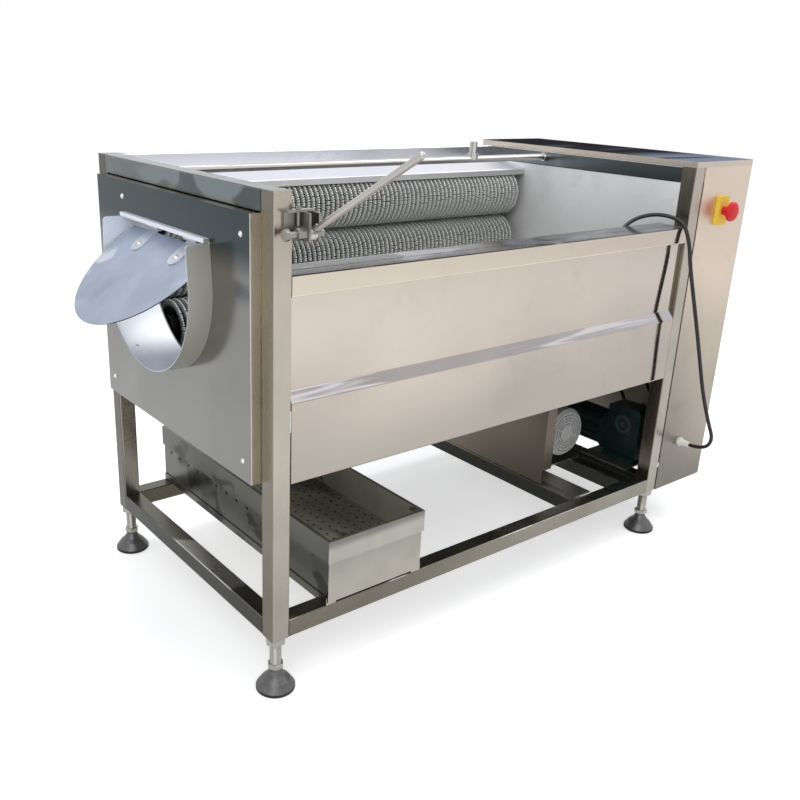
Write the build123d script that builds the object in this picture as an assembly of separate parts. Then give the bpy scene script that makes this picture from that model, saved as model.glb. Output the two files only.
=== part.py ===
"""Brush-roller washing and peeling machine for potatoes, in millimetres.

The machine stands on four levelling feet.  +X runs from the discharge duct to
the drive cabinet, -Y is the operator's side and +Z is up.  The origin is the
middle of the underside of the front left foot.
"""
from build123d import *
import math
import os

os.makedirs("parts", exist_ok=True)

# ------------------------------------------------------------ driving dimensions
# Welded frame of square tube
frame_length = 1490.0
frame_depth = 744.0
frame_height = 1015.0
tube = 40.0
tube_wall = 2.0
tube_corner = 3.0
rail_underside = 124.0
cabinet_length = 252.0
rim_height = 868.0
middle_rail_inset = 283.0
pump_rail_inset = 73.0

# Sheet metal
sheet = 2.0
end_sheet = 3.0
cover_sheet = 1.5
seam_gap = 1.0
bend_radius = 4.0
skirt_gap = 14.0
ledge_drop = 216.0
ledge_height = 25.0
panel_recess = 10.0
skirt_flange = 20.0
lip_reach = 50.0
lip_clearance = 1.0
guard_overhang = 41.0
guard_slope = 18.0
guard_clearance = 3.2
guard_fall = 19.5

# Levelling feet
foot_radius = 41.0
foot_rubber = 8.0
foot_height = 50.0
foot_neck_radius = 13.0
foot_collar = 6.0
foot_chamfer = 2.0
stem_radius = 8.0
stem_engagement = 30.0
thread_clearance = 0.1
nut_radius = 13.0
nut_height = 13.0
foot_plate = 6.0

# Brush rollers and their drive
roller_count = 7
roller_radius = 65.0
roller_gap = 4.0
core_radius = 30.0
core_collar = 8.0
shaft_radius = 12.5
bristle_rows = 20
bristle_row_depth = 5.0
front_roller_angle = -163.87
wall_gap = 5.0
shell_gap = 7.0
brush_gap_left = 35.0
brush_gap_right = 38.0
bearing_radius = 28.0
bearing_width = 20.0
running_clearance = 0.05
shaft_hole_clearance = 2.0
sprocket_teeth = 16
chain_pitch = 15.875
sprocket_width = 8.0
sprocket_offset = 60.0
drive_chain_gap = 4.0
chain_width = 7.0
chain_height = 6.0
chain_clearance = 0.8
driven_roller = 5

# Discharge duct and its flap
duct_gap = 29.0
duct_wall = 2.0
duct_reach = 50.0
duct_rise = 7.0
duct_lean = 5.0
duct_corner = 8.0
duct_lid_height = 94.0
cover_proud = 22.0
cover_screw_inset = 30.0
cover_screw_radius = 5.0
cover_screw_height = 2.6
drain_hole_radius = 4.0
strip_reach = 12.0
strip_height = 8.0
flap_inset = 9.0
flap_chord = 66.0
flap_angle = 37.0
flap_top_gap = 9.0
hinge_drop = 12.0
hinge_inset = 19.0
hinge_pin_radius = 4.0
hinge_knuckle_radius = 7.0
hinge_knuckle_width = 38.0
hinge_lug_width = 7.0
hinge_side_gap = 0.5
strap_spread = 84.0
strap_length = 50.0
strap_thickness = 3.0
strap_screw_radius = 7.0
strap_screw_height = 3.6

# Lever on the front left post
lever_length = 315.0
lever_radius = 6.0
lever_tilt = 29.0
lever_offset = 62.0
lever_drop = 71.0
lever_standoff = 22.0
lever_eye_radius = 13.0
lever_eye_width = 15.0
lever_ear_thickness = 4.0
lever_ear_gap = 0.4
lever_bolt_radius = 6.0
bracket_width = 55.0
bracket_height = 38.0
bracket_thickness = 5.0
bracket_lip = 16.0
stop_screw_radius = 3.0
stop_screw_length = 36.0
stop_screw_rise = 8.0
pivot_reach = 34.0
pivot_tail = 14.0
pivot_head = 8.0
spacer_length = 18.0
pivot_nut_radius = 11.0

# Spray pipe over the rollers
pipe_radius = 9.0
pipe_bore = 7.0
pipe_offset = 490.0
pipe_drop = 15.0
pipe_cap_radius = 12.0
pipe_cap_width = 12.0
spray_hole_count = 15
spray_hole_radius = 1.5
spray_hole_lean = 20.0
inlet_offset = 904.0
inlet_collar_radius = 14.0
inlet_collar_rise = 15.0
inlet_length = 30.0
inlet_bore = 7.5
inlet_radius = 10.5

# Drive cabinet
lid_height = 15.0
estop_offset = 131.0
estop_drop = 110.0
estop_width = 40.0
estop_height = 74.0
estop_depth = 12.0
estop_stem_radius = 11.0
estop_neck_radius = 7.0
estop_head_radius = 25.0
estop_head_length = 20.0
estop_travel = 4.0
button_gap = 0.3
gland_offset = 122.0
gland_height = 255.0
gland_nut_radius = 13.0
gland_length = 34.0

# Gearbox, motor and pump below the trough
gearbox_offset = 50.0
gearbox_inset = 85.0
gearbox_width = 60.0
gearbox_depth = 110.0
gearbox_height = 160.0
gearbox_output_height = 278.0
gearbox_shaft_radius = 12.0
gearbox_corner = 14.0
gearbox_boss_radius = 32.0
gearbox_boss_height = 8.0
gearbox_foot_reach = 12.0
gearbox_foot_inset = 6.0
gearbox_foot_height = 12.0
motor_radius = 54.0
motor_length = 200.0
motor_height = 235.0
motor_flange_radius = 60.0
motor_flange_width = 10.0
motor_cover_length = 40.0
motor_fins = 12
fin_depth = 6.0
fin_width = 3.0
base_plate = 4.0
pump_side_inset = 124.0
pump_inset = 200.0
pump_height = 97.0
pump_motor_radius = 60.0
pump_motor_length = 165.0
pump_cover_radius = 70.0
pump_cover_length = 36.0
pump_cover_edge = 9.0
grille_ring = 4.0
grille_gap = 5.0
grille_rings = 4
grille_ribs = 4
grille_depth = 5.0
grille_hub_radius = 16.0
pump_foot_depth = 24.0
pump_volute_radius = 66.0
pump_volute_length = 50.0
pump_suction_radius = 24.0
pump_suction_bore = 17.0
pump_suction_length = 30.0
pump_outlet_radius = 18.0
pump_outlet_bore = 12.0
pump_outlet_rise = 40.0
pump_plate_start = 16.0
pump_plate_length = 234.0
gear_plate_margin = 8.0
gear_plate_tail = 40.0
zone_plate_inset = 148.0
zone_plate_flange = 36.0
zone_plate_step = 4.0

# Water box and the perforated tray that hangs in it
box_offset = 134.0
box_width = 251.0
box_overhang = 2.0
box_height = 142.0
box_sheet = 1.5
runner_thickness = 6.0
runner_width = 22.0
tray_collar = 50.0
tray_clearance = 1.5
tray_depth = 80.0
tray_hole_radius = 5.0
tray_hole_pitch = 36.0
overflow_hole_radius = 4.0
overflow_hole_count = 9
overflow_hole_pitch = 48.0
overflow_hole_drop = 12.0

# Supply lead
cord_radius = 5.0
plug_radius = 17.0
plug_length = 42.0
plug_neck = 24.0
plug_pin_radius = 2.4
plug_pin_length = 19.0
plug_pin_spread = 19.0

# ------------------------------------------------------------ derived places
left = -tube / 2
right = left + frame_length
front = -tube / 2
back = front + frame_depth
middle = (front + back) / 2
trough_left = left + tube
trough_length = frame_length - tube - cabinet_length
trough_right = trough_left + trough_length
inner_front = front + tube
inner_back = back - tube
rail_top = rail_underside + tube
top_rail_under = frame_height - tube

# The rollers lie on an arc that just fits between the rails, below rim and roof
shell_radius = frame_depth / 2 - tube - shell_gap - sheet
arc_radius = shell_radius - wall_gap - roller_radius
roller_step = 2 * math.degrees(math.asin((2 * roller_radius + roller_gap) / (2 * arc_radius)))
roller_angles = [front_roller_angle + roller_step * place for place in range(roller_count)]
roller_rise = max(arc_radius * math.sin(math.radians(angle)) for angle in roller_angles) + roller_radius
arc_height = min(rim_height - roller_radius - lip_clearance, top_rail_under - guard_fall - roller_rise)
skirt_bottom = arc_height - shell_radius - sheet - skirt_gap
ledge_top = rim_height - ledge_drop
ledge_bottom = ledge_top - ledge_height
pitch_radius = chain_pitch / 2 / math.sin(math.pi / sprocket_teeth)
tip_radius = pitch_radius + chain_pitch * 0.2
root_radius = pitch_radius - chain_pitch * 0.28

partition_near = trough_right + seam_gap
partition_far = partition_near + end_sheet
end_plate_outer = trough_left - end_sheet
sprocket_plane = trough_right + sprocket_offset

duct_radius = arc_radius - bearing_radius - duct_gap
duct_height = arc_height + duct_rise
flap_radius = duct_radius - flap_inset
duct_lid = duct_height + duct_lid_height
cover_face = left - cover_proud
duct_mouth = cover_face - duct_reach
hinge_height = duct_lid - hinge_drop
hinge_place = cover_face + hinge_inset

lever_height = frame_height - lever_drop
lever_place = left + lever_offset
lever_depth = front - lever_standoff
pipe_place = front + pipe_offset
pipe_height = frame_height - pipe_drop

cabinet_face = front - cover_sheet
estop_place = trough_right + estop_offset
estop_level = frame_height - estop_drop
estop_face = cabinet_face - estop_depth
gland_place = trough_right + gland_offset

gearbox_left = trough_right + gearbox_offset
gearbox_middle = gearbox_left + gearbox_width / 2
drive_plane = gearbox_middle + motor_flange_radius + drive_chain_gap
gearbox_front = front + gearbox_inset
gearbox_back = gearbox_front + gearbox_depth
gearbox_output_depth = gearbox_front + gearbox_depth * 0.45
middle_rail = trough_right - middle_rail_inset
pump_rail = trough_right - pump_rail_inset
pump_place = trough_right - pump_side_inset
pump_front = front + pump_inset
pump_level = rail_top + base_plate + pump_height

box_left = left + box_offset
box_right = box_left + box_width
box_front = front - box_overhang
box_back = back + box_overhang
box_bottom = rail_top + runner_thickness
box_top = box_bottom + box_height
tray_top = box_top + sheet


# ------------------------------------------------------------ helpers
def save(name, shape):
    """Write one sub-part to its own file."""
    shape.label = name
    export_step(shape, "parts/" + name + ".step")


def block(x_span, y_span, z_span):
    """A box given by its limits along each axis."""
    spans = (x_span, y_span, z_span)
    size = [high - low for low, high in spans]
    centre = [(high + low) / 2 for low, high in spans]
    return Pos(*centre) * Box(*size)


def square_tube(x_span, y_span, z_span, along):
    """A square tube with rounded outer corners, open at both ends."""
    outer = block(x_span, y_span, z_span)
    outer = fillet(outer.edges().filter_by(along), tube_corner)
    spans = []
    for axis, span in zip((Axis.X, Axis.Y, Axis.Z), (x_span, y_span, z_span)):
        grow = seam_gap if axis == along else -tube_wall
        spans.append((span[0] - grow, span[1] + grow))
    return outer - block(*spans)


def rod_x(radius, x_span, y, z):
    """A round bar along X."""
    length = x_span[1] - x_span[0]
    return Pos((x_span[0] + x_span[1]) / 2, y, z) * Rot(0, 90, 0) * Cylinder(radius, length)


def rod_y(radius, x, y_span, z):
    """A round bar along Y."""
    length = y_span[1] - y_span[0]
    return Pos(x, (y_span[0] + y_span[1]) / 2, z) * Rot(90, 0, 0) * Cylinder(radius, length)


def rod_z(radius, x, y, z_span):
    """A round bar along Z."""
    length = z_span[1] - z_span[0]
    return Pos(x, y, (z_span[0] + z_span[1]) / 2) * Cylinder(radius, length)


def bent_sheet(points, x_span, thickness=sheet):
    """A sheet folded along X whose middle follows points in the YZ plane."""
    middle_line = FilletPolyline(*points, radius=bend_radius)
    profile = Plane.YZ * trace(middle_line, thickness)
    return Pos(x_span[0], 0, 0) * extrude(profile, x_span[1] - x_span[0], dir=(1, 0, 0))


def roller_centre(number):
    """Place of a roller's axis in the YZ plane; number 1 is the top one at the back."""
    angle = math.radians(front_roller_angle + roller_step * (roller_count - number))
    return middle + arc_radius * math.cos(angle), arc_height + arc_radius * math.sin(angle)


def hexagon_x(radius, x_span, y, z):
    """A hexagon nut or bolt head along X."""
    shape = extrude(RegularPolygon(radius, 6), x_span[1] - x_span[0])
    return Pos(x_span[0], y, z) * Rot(0, 90, 0) * shape


# ------------------------------------------------------------ frame
post_corners = []
for post_x in (left, trough_right, right - tube):
    for post_y in (front, back - tube):
        post_corners.append((post_x, post_y))
foot_places = [(x + tube / 2, y + tube / 2) for x, y in post_corners[:4]]


def frame_post(x, y):
    """One post with a closed top and a threaded plate at the bottom for its foot."""
    post = square_tube((x, x + tube), (y, y + tube), (rail_underside, frame_height), Axis.Z)
    inner = ((x + tube_wall, x + tube - tube_wall), (y + tube_wall, y + tube - tube_wall))
    cap = block(*inner, (frame_height - tube_wall, frame_height))
    plate = block(*inner, (rail_underside, rail_underside + foot_plate))
    hole = rod_z(stem_radius + thread_clearance, x + tube / 2, y + tube / 2,
                 (rail_underside - 1, rail_underside + foot_plate + 1))
    return post + cap + (plate - hole)


def frame_posts():
    return Compound(children=[frame_post(x, y) for x, y in post_corners])


def bottom_long_rails():
    rails = []
    for y in (front, back - tube):
        for x_span in ((trough_left, trough_right), (trough_right + tube, right - tube)):
            span = (rail_underside, rail_top)
            rails.append(square_tube(x_span, (y, y + tube), span, Axis.X))
    return Compound(children=rails)


def bottom_cross_rails():
    starts = (left, middle_rail, pump_rail, trough_right, right - tube)
    rails = []
    for x in starts:
        span = (rail_underside, rail_top)
        rails.append(square_tube((x, x + tube), (inner_front, inner_back), span, Axis.Y))
    return Compound(children=rails)


def top_rails():
    z_span = (top_rail_under, frame_height)
    rails = []
    for x in (left, trough_right, right - tube):
        rails.append(square_tube((x, x + tube), (inner_front, inner_back), z_span, Axis.Y))
    back_span = (back - tube, back)
    rails.append(square_tube((trough_left, trough_right), back_span, z_span, Axis.X))
    cabinet_span = (trough_right + tube, right - tube)
    for y in (front, back - tube):
        rails.append(square_tube(cabinet_span, (y, y + tube), z_span, Axis.X))
    return Compound(children=rails)


def front_rim_rail():
    return square_tube((trough_left, trough_right), (front, inner_front),
                       (rim_height - tube, rim_height), Axis.X)


def foot_pad(x, y):
    """Rubber-shod cone that carries the stem."""
    collar = foot_height - foot_collar
    slope = foot_radius - foot_neck_radius
    rise = collar - foot_rubber
    outline = Polyline(
        (0, 0),
        (foot_radius - foot_chamfer, 0),
        (foot_radius, foot_chamfer),
        (foot_radius, foot_rubber),
        (foot_radius - slope * 0.38, foot_rubber + rise * 0.42),
        (foot_radius - slope * 0.76, foot_rubber + rise * 0.7),
        (foot_neck_radius, collar),
        (foot_neck_radius, foot_height),
        (0, foot_height),
        close=True,
    )
    pad = revolve(Plane.XZ * make_face(outline), axis=Axis.Z)
    return Pos(x, y, 0) * pad


def foot_pads():
    return Compound(children=[foot_pad(x, y) for x, y in foot_places])


def foot_stem(x, y):
    """Threaded stem with its lock nut against the post and the nut on the pad."""
    stem = rod_z(stem_radius, x, y, (foot_height, rail_underside + stem_engagement))
    nut = extrude(RegularPolygon(nut_radius, 6), nut_height)
    lock_nut = Pos(x, y, rail_underside - nut_height) * nut
    pad_nut = Pos(x, y, foot_height) * nut
    return stem + lock_nut + pad_nut


def foot_stems():
    return Compound(children=[foot_stem(x, y) for x, y in foot_places])


# ------------------------------------------------------------ trough
def left_end_plate():
    """End wall with the round discharge opening and the roller shaft holes."""
    z_span = (skirt_bottom, top_rail_under)
    plate = block((end_plate_outer, trough_left), (inner_front, inner_back), z_span)
    plate -= duct_section(duct_radius - duct_wall, end_plate_outer - 1, trough_left + 1)
    for number in range(1, roller_count + 1):
        y, z = roller_centre(number)
        span = (end_plate_outer - 1, trough_left + 1)
        plate -= rod_x(shaft_radius + shaft_hole_clearance, span, y, z)
    return plate


def partition_plate():
    """Wall between the trough and the drive cabinet."""
    z_span = (skirt_bottom, top_rail_under)
    plate = block((partition_near, partition_far), (inner_front, inner_back), z_span)
    for number in range(1, roller_count + 1):
        y, z = roller_centre(number)
        span = (partition_near - 1, partition_far + 1)
        plate -= rod_x(shaft_radius + shaft_hole_clearance, span, y, z)
    return plate


def front_panel():
    """Front sheet: recessed upper field, sloping ledge and proud lower skirt."""
    upper = front + panel_recess + sheet / 2
    skirt = front + sheet / 2
    points = [
        (upper, rim_height - tube),
        (upper, ledge_top),
        (skirt, ledge_bottom),
        (skirt, skirt_bottom + sheet / 2),
        (skirt + skirt_flange, skirt_bottom + sheet / 2),
    ]
    return bent_sheet(points, (trough_left + seam_gap, trough_right - seam_gap))


def trough_lip():
    """Folded lip from the rim rail into the trough, down to the front roller."""
    wall = inner_front + lip_reach
    y, z = roller_centre(roller_count)
    roller_top = z + math.sqrt((roller_radius + wall_gap) ** 2 - (y - wall) ** 2)
    points = [
        (inner_front, rim_height - sheet / 2),
        (wall - sheet / 2, rim_height - sheet / 2),
        (wall - sheet / 2, roller_top),
    ]
    return bent_sheet(points, (trough_left + seam_gap, trough_right - seam_gap))


def back_panel():
    """Outer back sheet under the back top rail."""
    y = back - panel_recess
    z_span = (skirt_bottom, top_rail_under)
    sheet_body = block((trough_left, trough_right), (y - sheet, y), z_span)
    flange = block((trough_left, trough_right), (y - skirt_flange, y), (skirt_bottom, skirt_bottom + sheet))
    return sheet_body + flange


def trough_shell():
    """U-shaped sheet round the rollers, with the debris drain over the tray."""
    centre_radius = shell_radius + sheet / 2
    front_top = Vector(middle - centre_radius, rim_height - tube - seam_gap)
    front_start = Vector(middle - centre_radius, arc_height)
    back_end = Vector(middle + centre_radius, arc_height)
    back_top = Vector(middle + centre_radius, top_rail_under - seam_gap)
    bottom = Vector(middle, arc_height - centre_radius)
    path = Line(front_top, front_start) + ThreePointArc(front_start, bottom, back_end)
    path = path + Line(back_end, back_top)
    profile = Plane.YZ * trace(path, sheet)
    x_start = trough_left + seam_gap
    shell = Pos(x_start, 0, 0) * extrude(profile, trough_length - seam_gap, dir=(1, 0, 0))
    low = arc_height - shell_radius
    drain = block((box_left + tube, box_right - tube), (middle - tube * 2, middle + tube * 2),
                  (low - tube, low + tube))
    return shell - drain


def guard_lip():
    """Sheet that covers the top roller at the back and turns down in front of it."""
    y, z = roller_centre(1)
    start = middle + shell_radius - sheet
    top = top_rail_under + sheet
    edge = y - guard_overhang
    low = z + math.sqrt((roller_radius + guard_clearance) ** 2 - (guard_overhang + sheet) ** 2)
    points = [
        (start, top),
        (edge, top - guard_slope),
        (edge - sheet, low),
    ]
    return bent_sheet(points, (trough_left + seam_gap, trough_right - seam_gap))


# ------------------------------------------------------------ left end cover and duct
def duct_outline(radius):
    """Face of the duct: round below, leaning walls above and a flat top."""
    lean = math.radians(duct_lean)
    side = radius * math.cos(lean)
    turn = radius * math.sin(lean)
    top = duct_lid_height
    narrow = side - (top - turn) * math.tan(lean)
    arc = ThreePointArc((side, turn), (0, -radius), (-side, turn))
    walls = Polyline((-side, turn), (-narrow, top), (narrow, top), (side, turn))
    return make_face([*arc.edges(), *walls.edges()])


def duct_section(radius, x_start, x_end):
    """The duct outline as a solid from one X to another."""
    face = Plane(origin=(x_start, middle, duct_height), x_dir=(0, 1, 0), z_dir=(1, 0, 0))
    return extrude(face * duct_outline(radius), x_end - x_start)


def mouth_corner(top, half_width):
    """What a round upper corner takes off both duct walls at the mouth."""
    y_span = (middle - half_width, middle + half_width)
    corner = block((duct_mouth - 1, duct_mouth + duct_corner), y_span, (top - duct_corner, top + 1))
    return corner - rod_y(duct_corner, duct_mouth + duct_corner, y_span, top - duct_corner)


def discharge_duct():
    """Round-bottomed duct, open at the top in front of the cover."""
    duct = duct_section(duct_radius, duct_mouth, end_plate_outer)
    duct -= duct_section(duct_radius - duct_wall, duct_mouth - 1, end_plate_outer + 1)
    half_width = duct_radius * math.cos(math.radians(duct_lean))
    open_top = block((duct_mouth - 1, cover_face), (middle - half_width, middle + half_width),
                     (duct_lid - duct_wall - 1, duct_lid + 1))
    duct -= open_top
    duct -= mouth_corner(duct_lid - duct_wall - 1, half_width)
    narrow = half_width - duct_lid_height * math.tan(math.radians(duct_lean))
    lid = block((cover_face, end_plate_outer), (middle - narrow, middle + narrow),
                (duct_lid - duct_wall, duct_lid))
    strip = block((cover_face - strip_reach, cover_face), (middle - narrow, middle + narrow),
                  (duct_lid - duct_wall, duct_lid - duct_wall + strip_height))
    hole_y = middle + duct_radius * math.sin(math.radians(28))
    hole_z = duct_height - duct_radius * math.cos(math.radians(28))
    drain = Pos(duct_mouth + duct_reach * 0.42, hole_y, hole_z) * Rot(28, 0, 0)
    return duct + lid + strip - drain * Cylinder(drain_hole_radius, duct_radius * 0.2)


def left_end_cover():
    """Shallow box between the left posts that closes the bearing space."""
    y_span = (inner_front + seam_gap, inner_back - seam_gap)
    z_span = (skirt_bottom, top_rail_under - seam_gap)
    body = block((cover_face, left + cover_proud), y_span, z_span)
    body = fillet(body.edges().group_by(Axis.X)[0].filter_by(Axis.Z), cover_sheet)
    inside = block((cover_face + cover_sheet, left + cover_proud + 1),
                   (y_span[0] + cover_sheet, y_span[1] - cover_sheet),
                   (z_span[0] + cover_sheet, z_span[1] - cover_sheet))
    body -= inside
    body -= duct_section(duct_radius + seam_gap / 4, cover_face - 1, cover_face + cover_sheet + 1)
    return body


def left_cover_screws():
    """Four low-headed screws through the end cover."""
    screws = []
    low = skirt_bottom + cover_screw_inset
    high = top_rail_under - cover_screw_inset
    for y in (inner_front + cover_screw_inset, inner_back - cover_screw_inset):
        for z in (low, high):
            head = Cone(cover_screw_radius, cover_screw_radius * 0.6, cover_screw_height)
            screws.append(Pos(cover_face - cover_screw_height / 2, y, z) * Rot(0, -90, 0) * head)
    return Compound(children=screws)


# Frame of the flap: X leads from the hinge down the flap, Z is its outward normal
flap_slope = math.radians(flap_angle)
flap_frame = Plane(origin=(hinge_place, middle, hinge_height),
                   x_dir=(-math.cos(flap_slope), 0, -math.sin(flap_slope)),
                   z_dir=(-math.sin(flap_slope), 0, math.cos(flap_slope)))
strap_under = -hinge_knuckle_radius
strap_places = (-strap_spread, strap_spread)


def flap():
    """Round flap with a straight upper edge below the hinge."""
    disc = Pos(flap_chord, 0, strap_under - sheet / 2) * Cylinder(flap_radius, sheet)
    keep = Pos(flap_top_gap + flap_radius * 2, 0, 0) * Box(flap_radius * 4, flap_radius * 4, tube)
    return flap_frame.location * (disc & keep)


def flap_strap(y):
    """Strap hinge leaf: knuckle round the pin, arm with a round end, screw head."""
    width = hinge_knuckle_width
    knuckle = Pos(0, y, 0) * Rot(90, 0, 0) * Cylinder(hinge_knuckle_radius, width)
    bore = Pos(0, y, 0) * Rot(90, 0, 0) * Cylinder(hinge_pin_radius + running_clearance, width + 2)
    level = strap_under + strap_thickness / 2
    arm = Pos(strap_length / 2, y, level) * Box(strap_length, width, strap_thickness)
    end = Pos(strap_length, y, level) * Cylinder(width / 2, strap_thickness)
    head = Cone(strap_screw_radius, strap_screw_radius * 0.6, strap_screw_height)
    head = Pos(strap_length, y, strap_under + strap_thickness + strap_screw_height / 2) * head
    return flap_frame.location * (knuckle + arm + end - bore + head)


def flap_straps():
    return Compound(children=[flap_strap(y) for y in strap_places])


def hinge_bracket(y):
    """Two lugs under the duct lid with the pin between them."""
    inner = hinge_knuckle_width / 2 + hinge_side_gap
    outer = inner + hinge_lug_width
    pin = rod_y(hinge_pin_radius, hinge_place, (middle + y - outer - 2, middle + y + outer + 2), hinge_height)
    body = pin
    for low, high in ((inner, outer), (-outer, -inner)):
        lug = block((hinge_place - hinge_knuckle_radius, hinge_place + hinge_knuckle_radius),
                    (middle + y + low, middle + y + high), (hinge_height, duct_lid - duct_wall))
        body += lug
        body += rod_y(hinge_knuckle_radius, hinge_place, (middle + y + low, middle + y + high), hinge_height)
    return body


def flap_hinge_brackets():
    return Compound(children=[hinge_bracket(y) for y in strap_places])


# ------------------------------------------------------------ lever
ear_inner = lever_eye_width / 2 + lever_ear_gap
ear_outer = ear_inner + lever_ear_thickness
bracket_top = lever_height + lever_ear_thickness + bracket_height - 2
stop_screw_place = lever_place - ear_outer - 6
stop_screw_depth = front - (bracket_lip + bracket_thickness) / 2


def lever_bracket():
    """Plate on the post with a stop lip and two ears for the lever's bolt."""
    x_end = lever_place + ear_outer
    x_start = x_end - bracket_width
    low = lever_height - lever_eye_radius
    plate = block((x_start, x_end), (front - bracket_thickness, front), (bracket_top - bracket_height, bracket_top))
    lip = block((x_start, x_end), (front - bracket_lip, front),
                (bracket_top - lever_ear_thickness, bracket_top))
    bracket = plate + lip
    for x in (lever_place - ear_outer, lever_place + ear_inner):
        ear = block((x, x + lever_ear_thickness),
                    (lever_depth - lever_eye_radius, front), (low, bracket_top - lever_ear_thickness))
        hole = rod_x(lever_bolt_radius, (x - 1, x + lever_ear_thickness + 1), lever_depth, lever_height)
        bracket += ear
        bracket -= hole
    bracket -= rod_z(stop_screw_radius, stop_screw_place, stop_screw_depth,
                     (bracket_top - bracket_height, bracket_top + 1))
    swing = rod_x(lever_eye_radius + lever_ear_gap * 2,
                  (lever_place - ear_inner, lever_place + ear_inner), lever_depth, lever_height)
    return bracket - swing


def lever():
    """Eye on the bolt, flattened neck and round rod with a domed end."""
    eye = rod_x(lever_eye_radius, (-lever_eye_width / 2, lever_eye_width / 2), 0, 0)
    neck_length = lever_eye_radius * 2.2
    neck = Pos(0, -neck_length / 2, 0) * Box(lever_eye_width * 0.6, neck_length, lever_eye_radius)
    rod = rod_y(lever_radius, 0, (-lever_length, -neck_length * 0.7), 0)
    tip = Pos(0, -lever_length, 0) * Sphere(lever_radius)
    bore = rod_x(lever_bolt_radius + running_clearance, (-tube, tube), 0, 0)
    body = eye + neck + rod + tip - bore
    return Pos(lever_place, lever_depth, lever_height) * Rot(-lever_tilt, 0, 0) * body


def lever_fasteners():
    """Pivot bolt with head, spacer nuts and lock nut, and the stop screw in the lip."""
    far = lever_place + ear_outer
    near = lever_place - ear_outer
    head_face = near - pivot_reach
    bolt = rod_x(lever_bolt_radius, (head_face, far + pivot_tail), lever_depth, lever_height)
    bolt += hexagon_x(pivot_nut_radius, (head_face - pivot_head, head_face), lever_depth, lever_height)
    bolt += hexagon_x(pivot_nut_radius, (near - spacer_length, near), lever_depth, lever_height)
    bolt += hexagon_x(pivot_nut_radius - 1, (far, far + pivot_head + 2), lever_depth, lever_height)
    stop_top = bracket_top + stop_screw_rise
    stop = rod_z(stop_screw_radius, stop_screw_place, stop_screw_depth, (stop_top - stop_screw_length, stop_top))
    nut = extrude(RegularPolygon(stop_screw_radius * 1.83, 6), stop_screw_rise - stop_screw_radius)
    stop += Pos(stop_screw_place, stop_screw_depth, bracket_top) * nut
    return Compound(children=[bolt, stop])


# ------------------------------------------------------------ spray pipe
def spray_pipe():
    """Capped pipe across the trough, drilled along its underside, with a hose inlet."""
    pipe = rod_x(pipe_radius, (trough_left, trough_right), pipe_place, pipe_height)
    for x_span in ((trough_left, trough_left + pipe_cap_width), (trough_right - pipe_cap_width, trough_right)):
        pipe += rod_x(pipe_cap_radius, x_span, pipe_place, pipe_height)
    inlet_x = trough_left + inlet_offset
    collar_top = pipe_height + inlet_collar_rise
    inlet_top = collar_top + inlet_length
    pipe += rod_z(inlet_collar_radius, inlet_x, pipe_place, (pipe_height, collar_top))
    pipe += rod_z(inlet_radius, inlet_x, pipe_place, (collar_top, inlet_top))
    pipe -= rod_x(pipe_bore, (trough_left + sheet, trough_right - sheet), pipe_place, pipe_height)
    step = trough_length / (spray_hole_count + 1)
    drill = Rot(spray_hole_lean, 0, 0) * Pos(0, 0, -pipe_radius) * Cylinder(spray_hole_radius, pipe_radius)
    for number in range(1, spray_hole_count + 1):
        pipe -= Pos(trough_left + step * number, pipe_place, pipe_height) * drill
    return pipe - rod_z(inlet_bore, inlet_x, pipe_place, (pipe_height, inlet_top + 1))


# ------------------------------------------------------------ drive cabinet
def cabinet_front_cover():
    """Flush front sheet with folded side edges."""
    x_span = (trough_right + tube + seam_gap, right + cover_sheet)
    return block(x_span, (cabinet_face, front), (rail_underside, frame_height))


def cabinet_rear_wrap():
    """Sheet round the end and the back of the cabinet."""
    z_span = (rail_underside, frame_height)
    end = block((right, right + cover_sheet), (front, back + cover_sheet), z_span)
    rear = block((trough_right + tube + seam_gap, right + cover_sheet), (back, back + cover_sheet), z_span)
    return end + rear


def cabinet_lid():
    """Shallow lid over the cabinet, folded down on all sides."""
    x_span = (trough_right, right + cover_sheet)
    y_span = (cabinet_face, back + cover_sheet)
    lid = block(x_span, y_span, (frame_height, frame_height + lid_height))
    lid = fillet(lid.edges().group_by(Axis.Z)[-1], cover_sheet)
    inside = block((x_span[0] + cover_sheet, x_span[1] - cover_sheet),
                   (y_span[0] + cover_sheet, y_span[1] - cover_sheet),
                   (frame_height - 1, frame_height + lid_height - cover_sheet))
    return lid - inside


def estop_box():
    """Housing of the stop button."""
    x_span = (estop_place - estop_width / 2, estop_place + estop_width / 2)
    z_span = (estop_level - estop_height / 2, estop_level + estop_height / 2)
    box = block(x_span, (estop_face, cabinet_face), z_span)
    box = fillet(box.edges().filter_by(Axis.Y), 4)
    bore = rod_y(estop_stem_radius + running_clearance, estop_place,
                 (estop_face - 1, cabinet_face - 1), estop_level)
    return box - bore


def estop_stem():
    """Sliding stem with a neck that the head turns on."""
    stem = rod_y(estop_stem_radius, estop_place,
                 (estop_face - estop_travel * 3, cabinet_face - 1 - estop_travel), estop_level)
    neck_end = estop_face - estop_travel * 3 - estop_head_length * 0.6
    return stem + rod_y(estop_neck_radius, estop_place, (neck_end, estop_face), estop_level)


def estop_head():
    """Mushroom head with a narrow skirt, turned from the profile below."""
    start = estop_face - estop_travel * 3 - button_gap
    length = estop_head_length
    radius = estop_head_radius
    skirt = estop_stem_radius + 4
    outline = Polyline(
        (0, 0),
        (skirt, 0),
        (skirt, length * 0.25),
        (radius, length * 0.42),
        (radius, length * 0.68),
        (radius * 0.88, length * 0.86),
        (radius * 0.6, length * 0.97),
        (radius * 0.3, length),
        (0, length),
        close=True,
    )
    head = revolve(Plane.XZ * make_face(outline), axis=Axis.Z)
    body = head - Cylinder(estop_neck_radius + running_clearance, length * 1.24)
    return Pos(estop_place, start, estop_level) * Rot(90, 0, 0) * body


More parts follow.
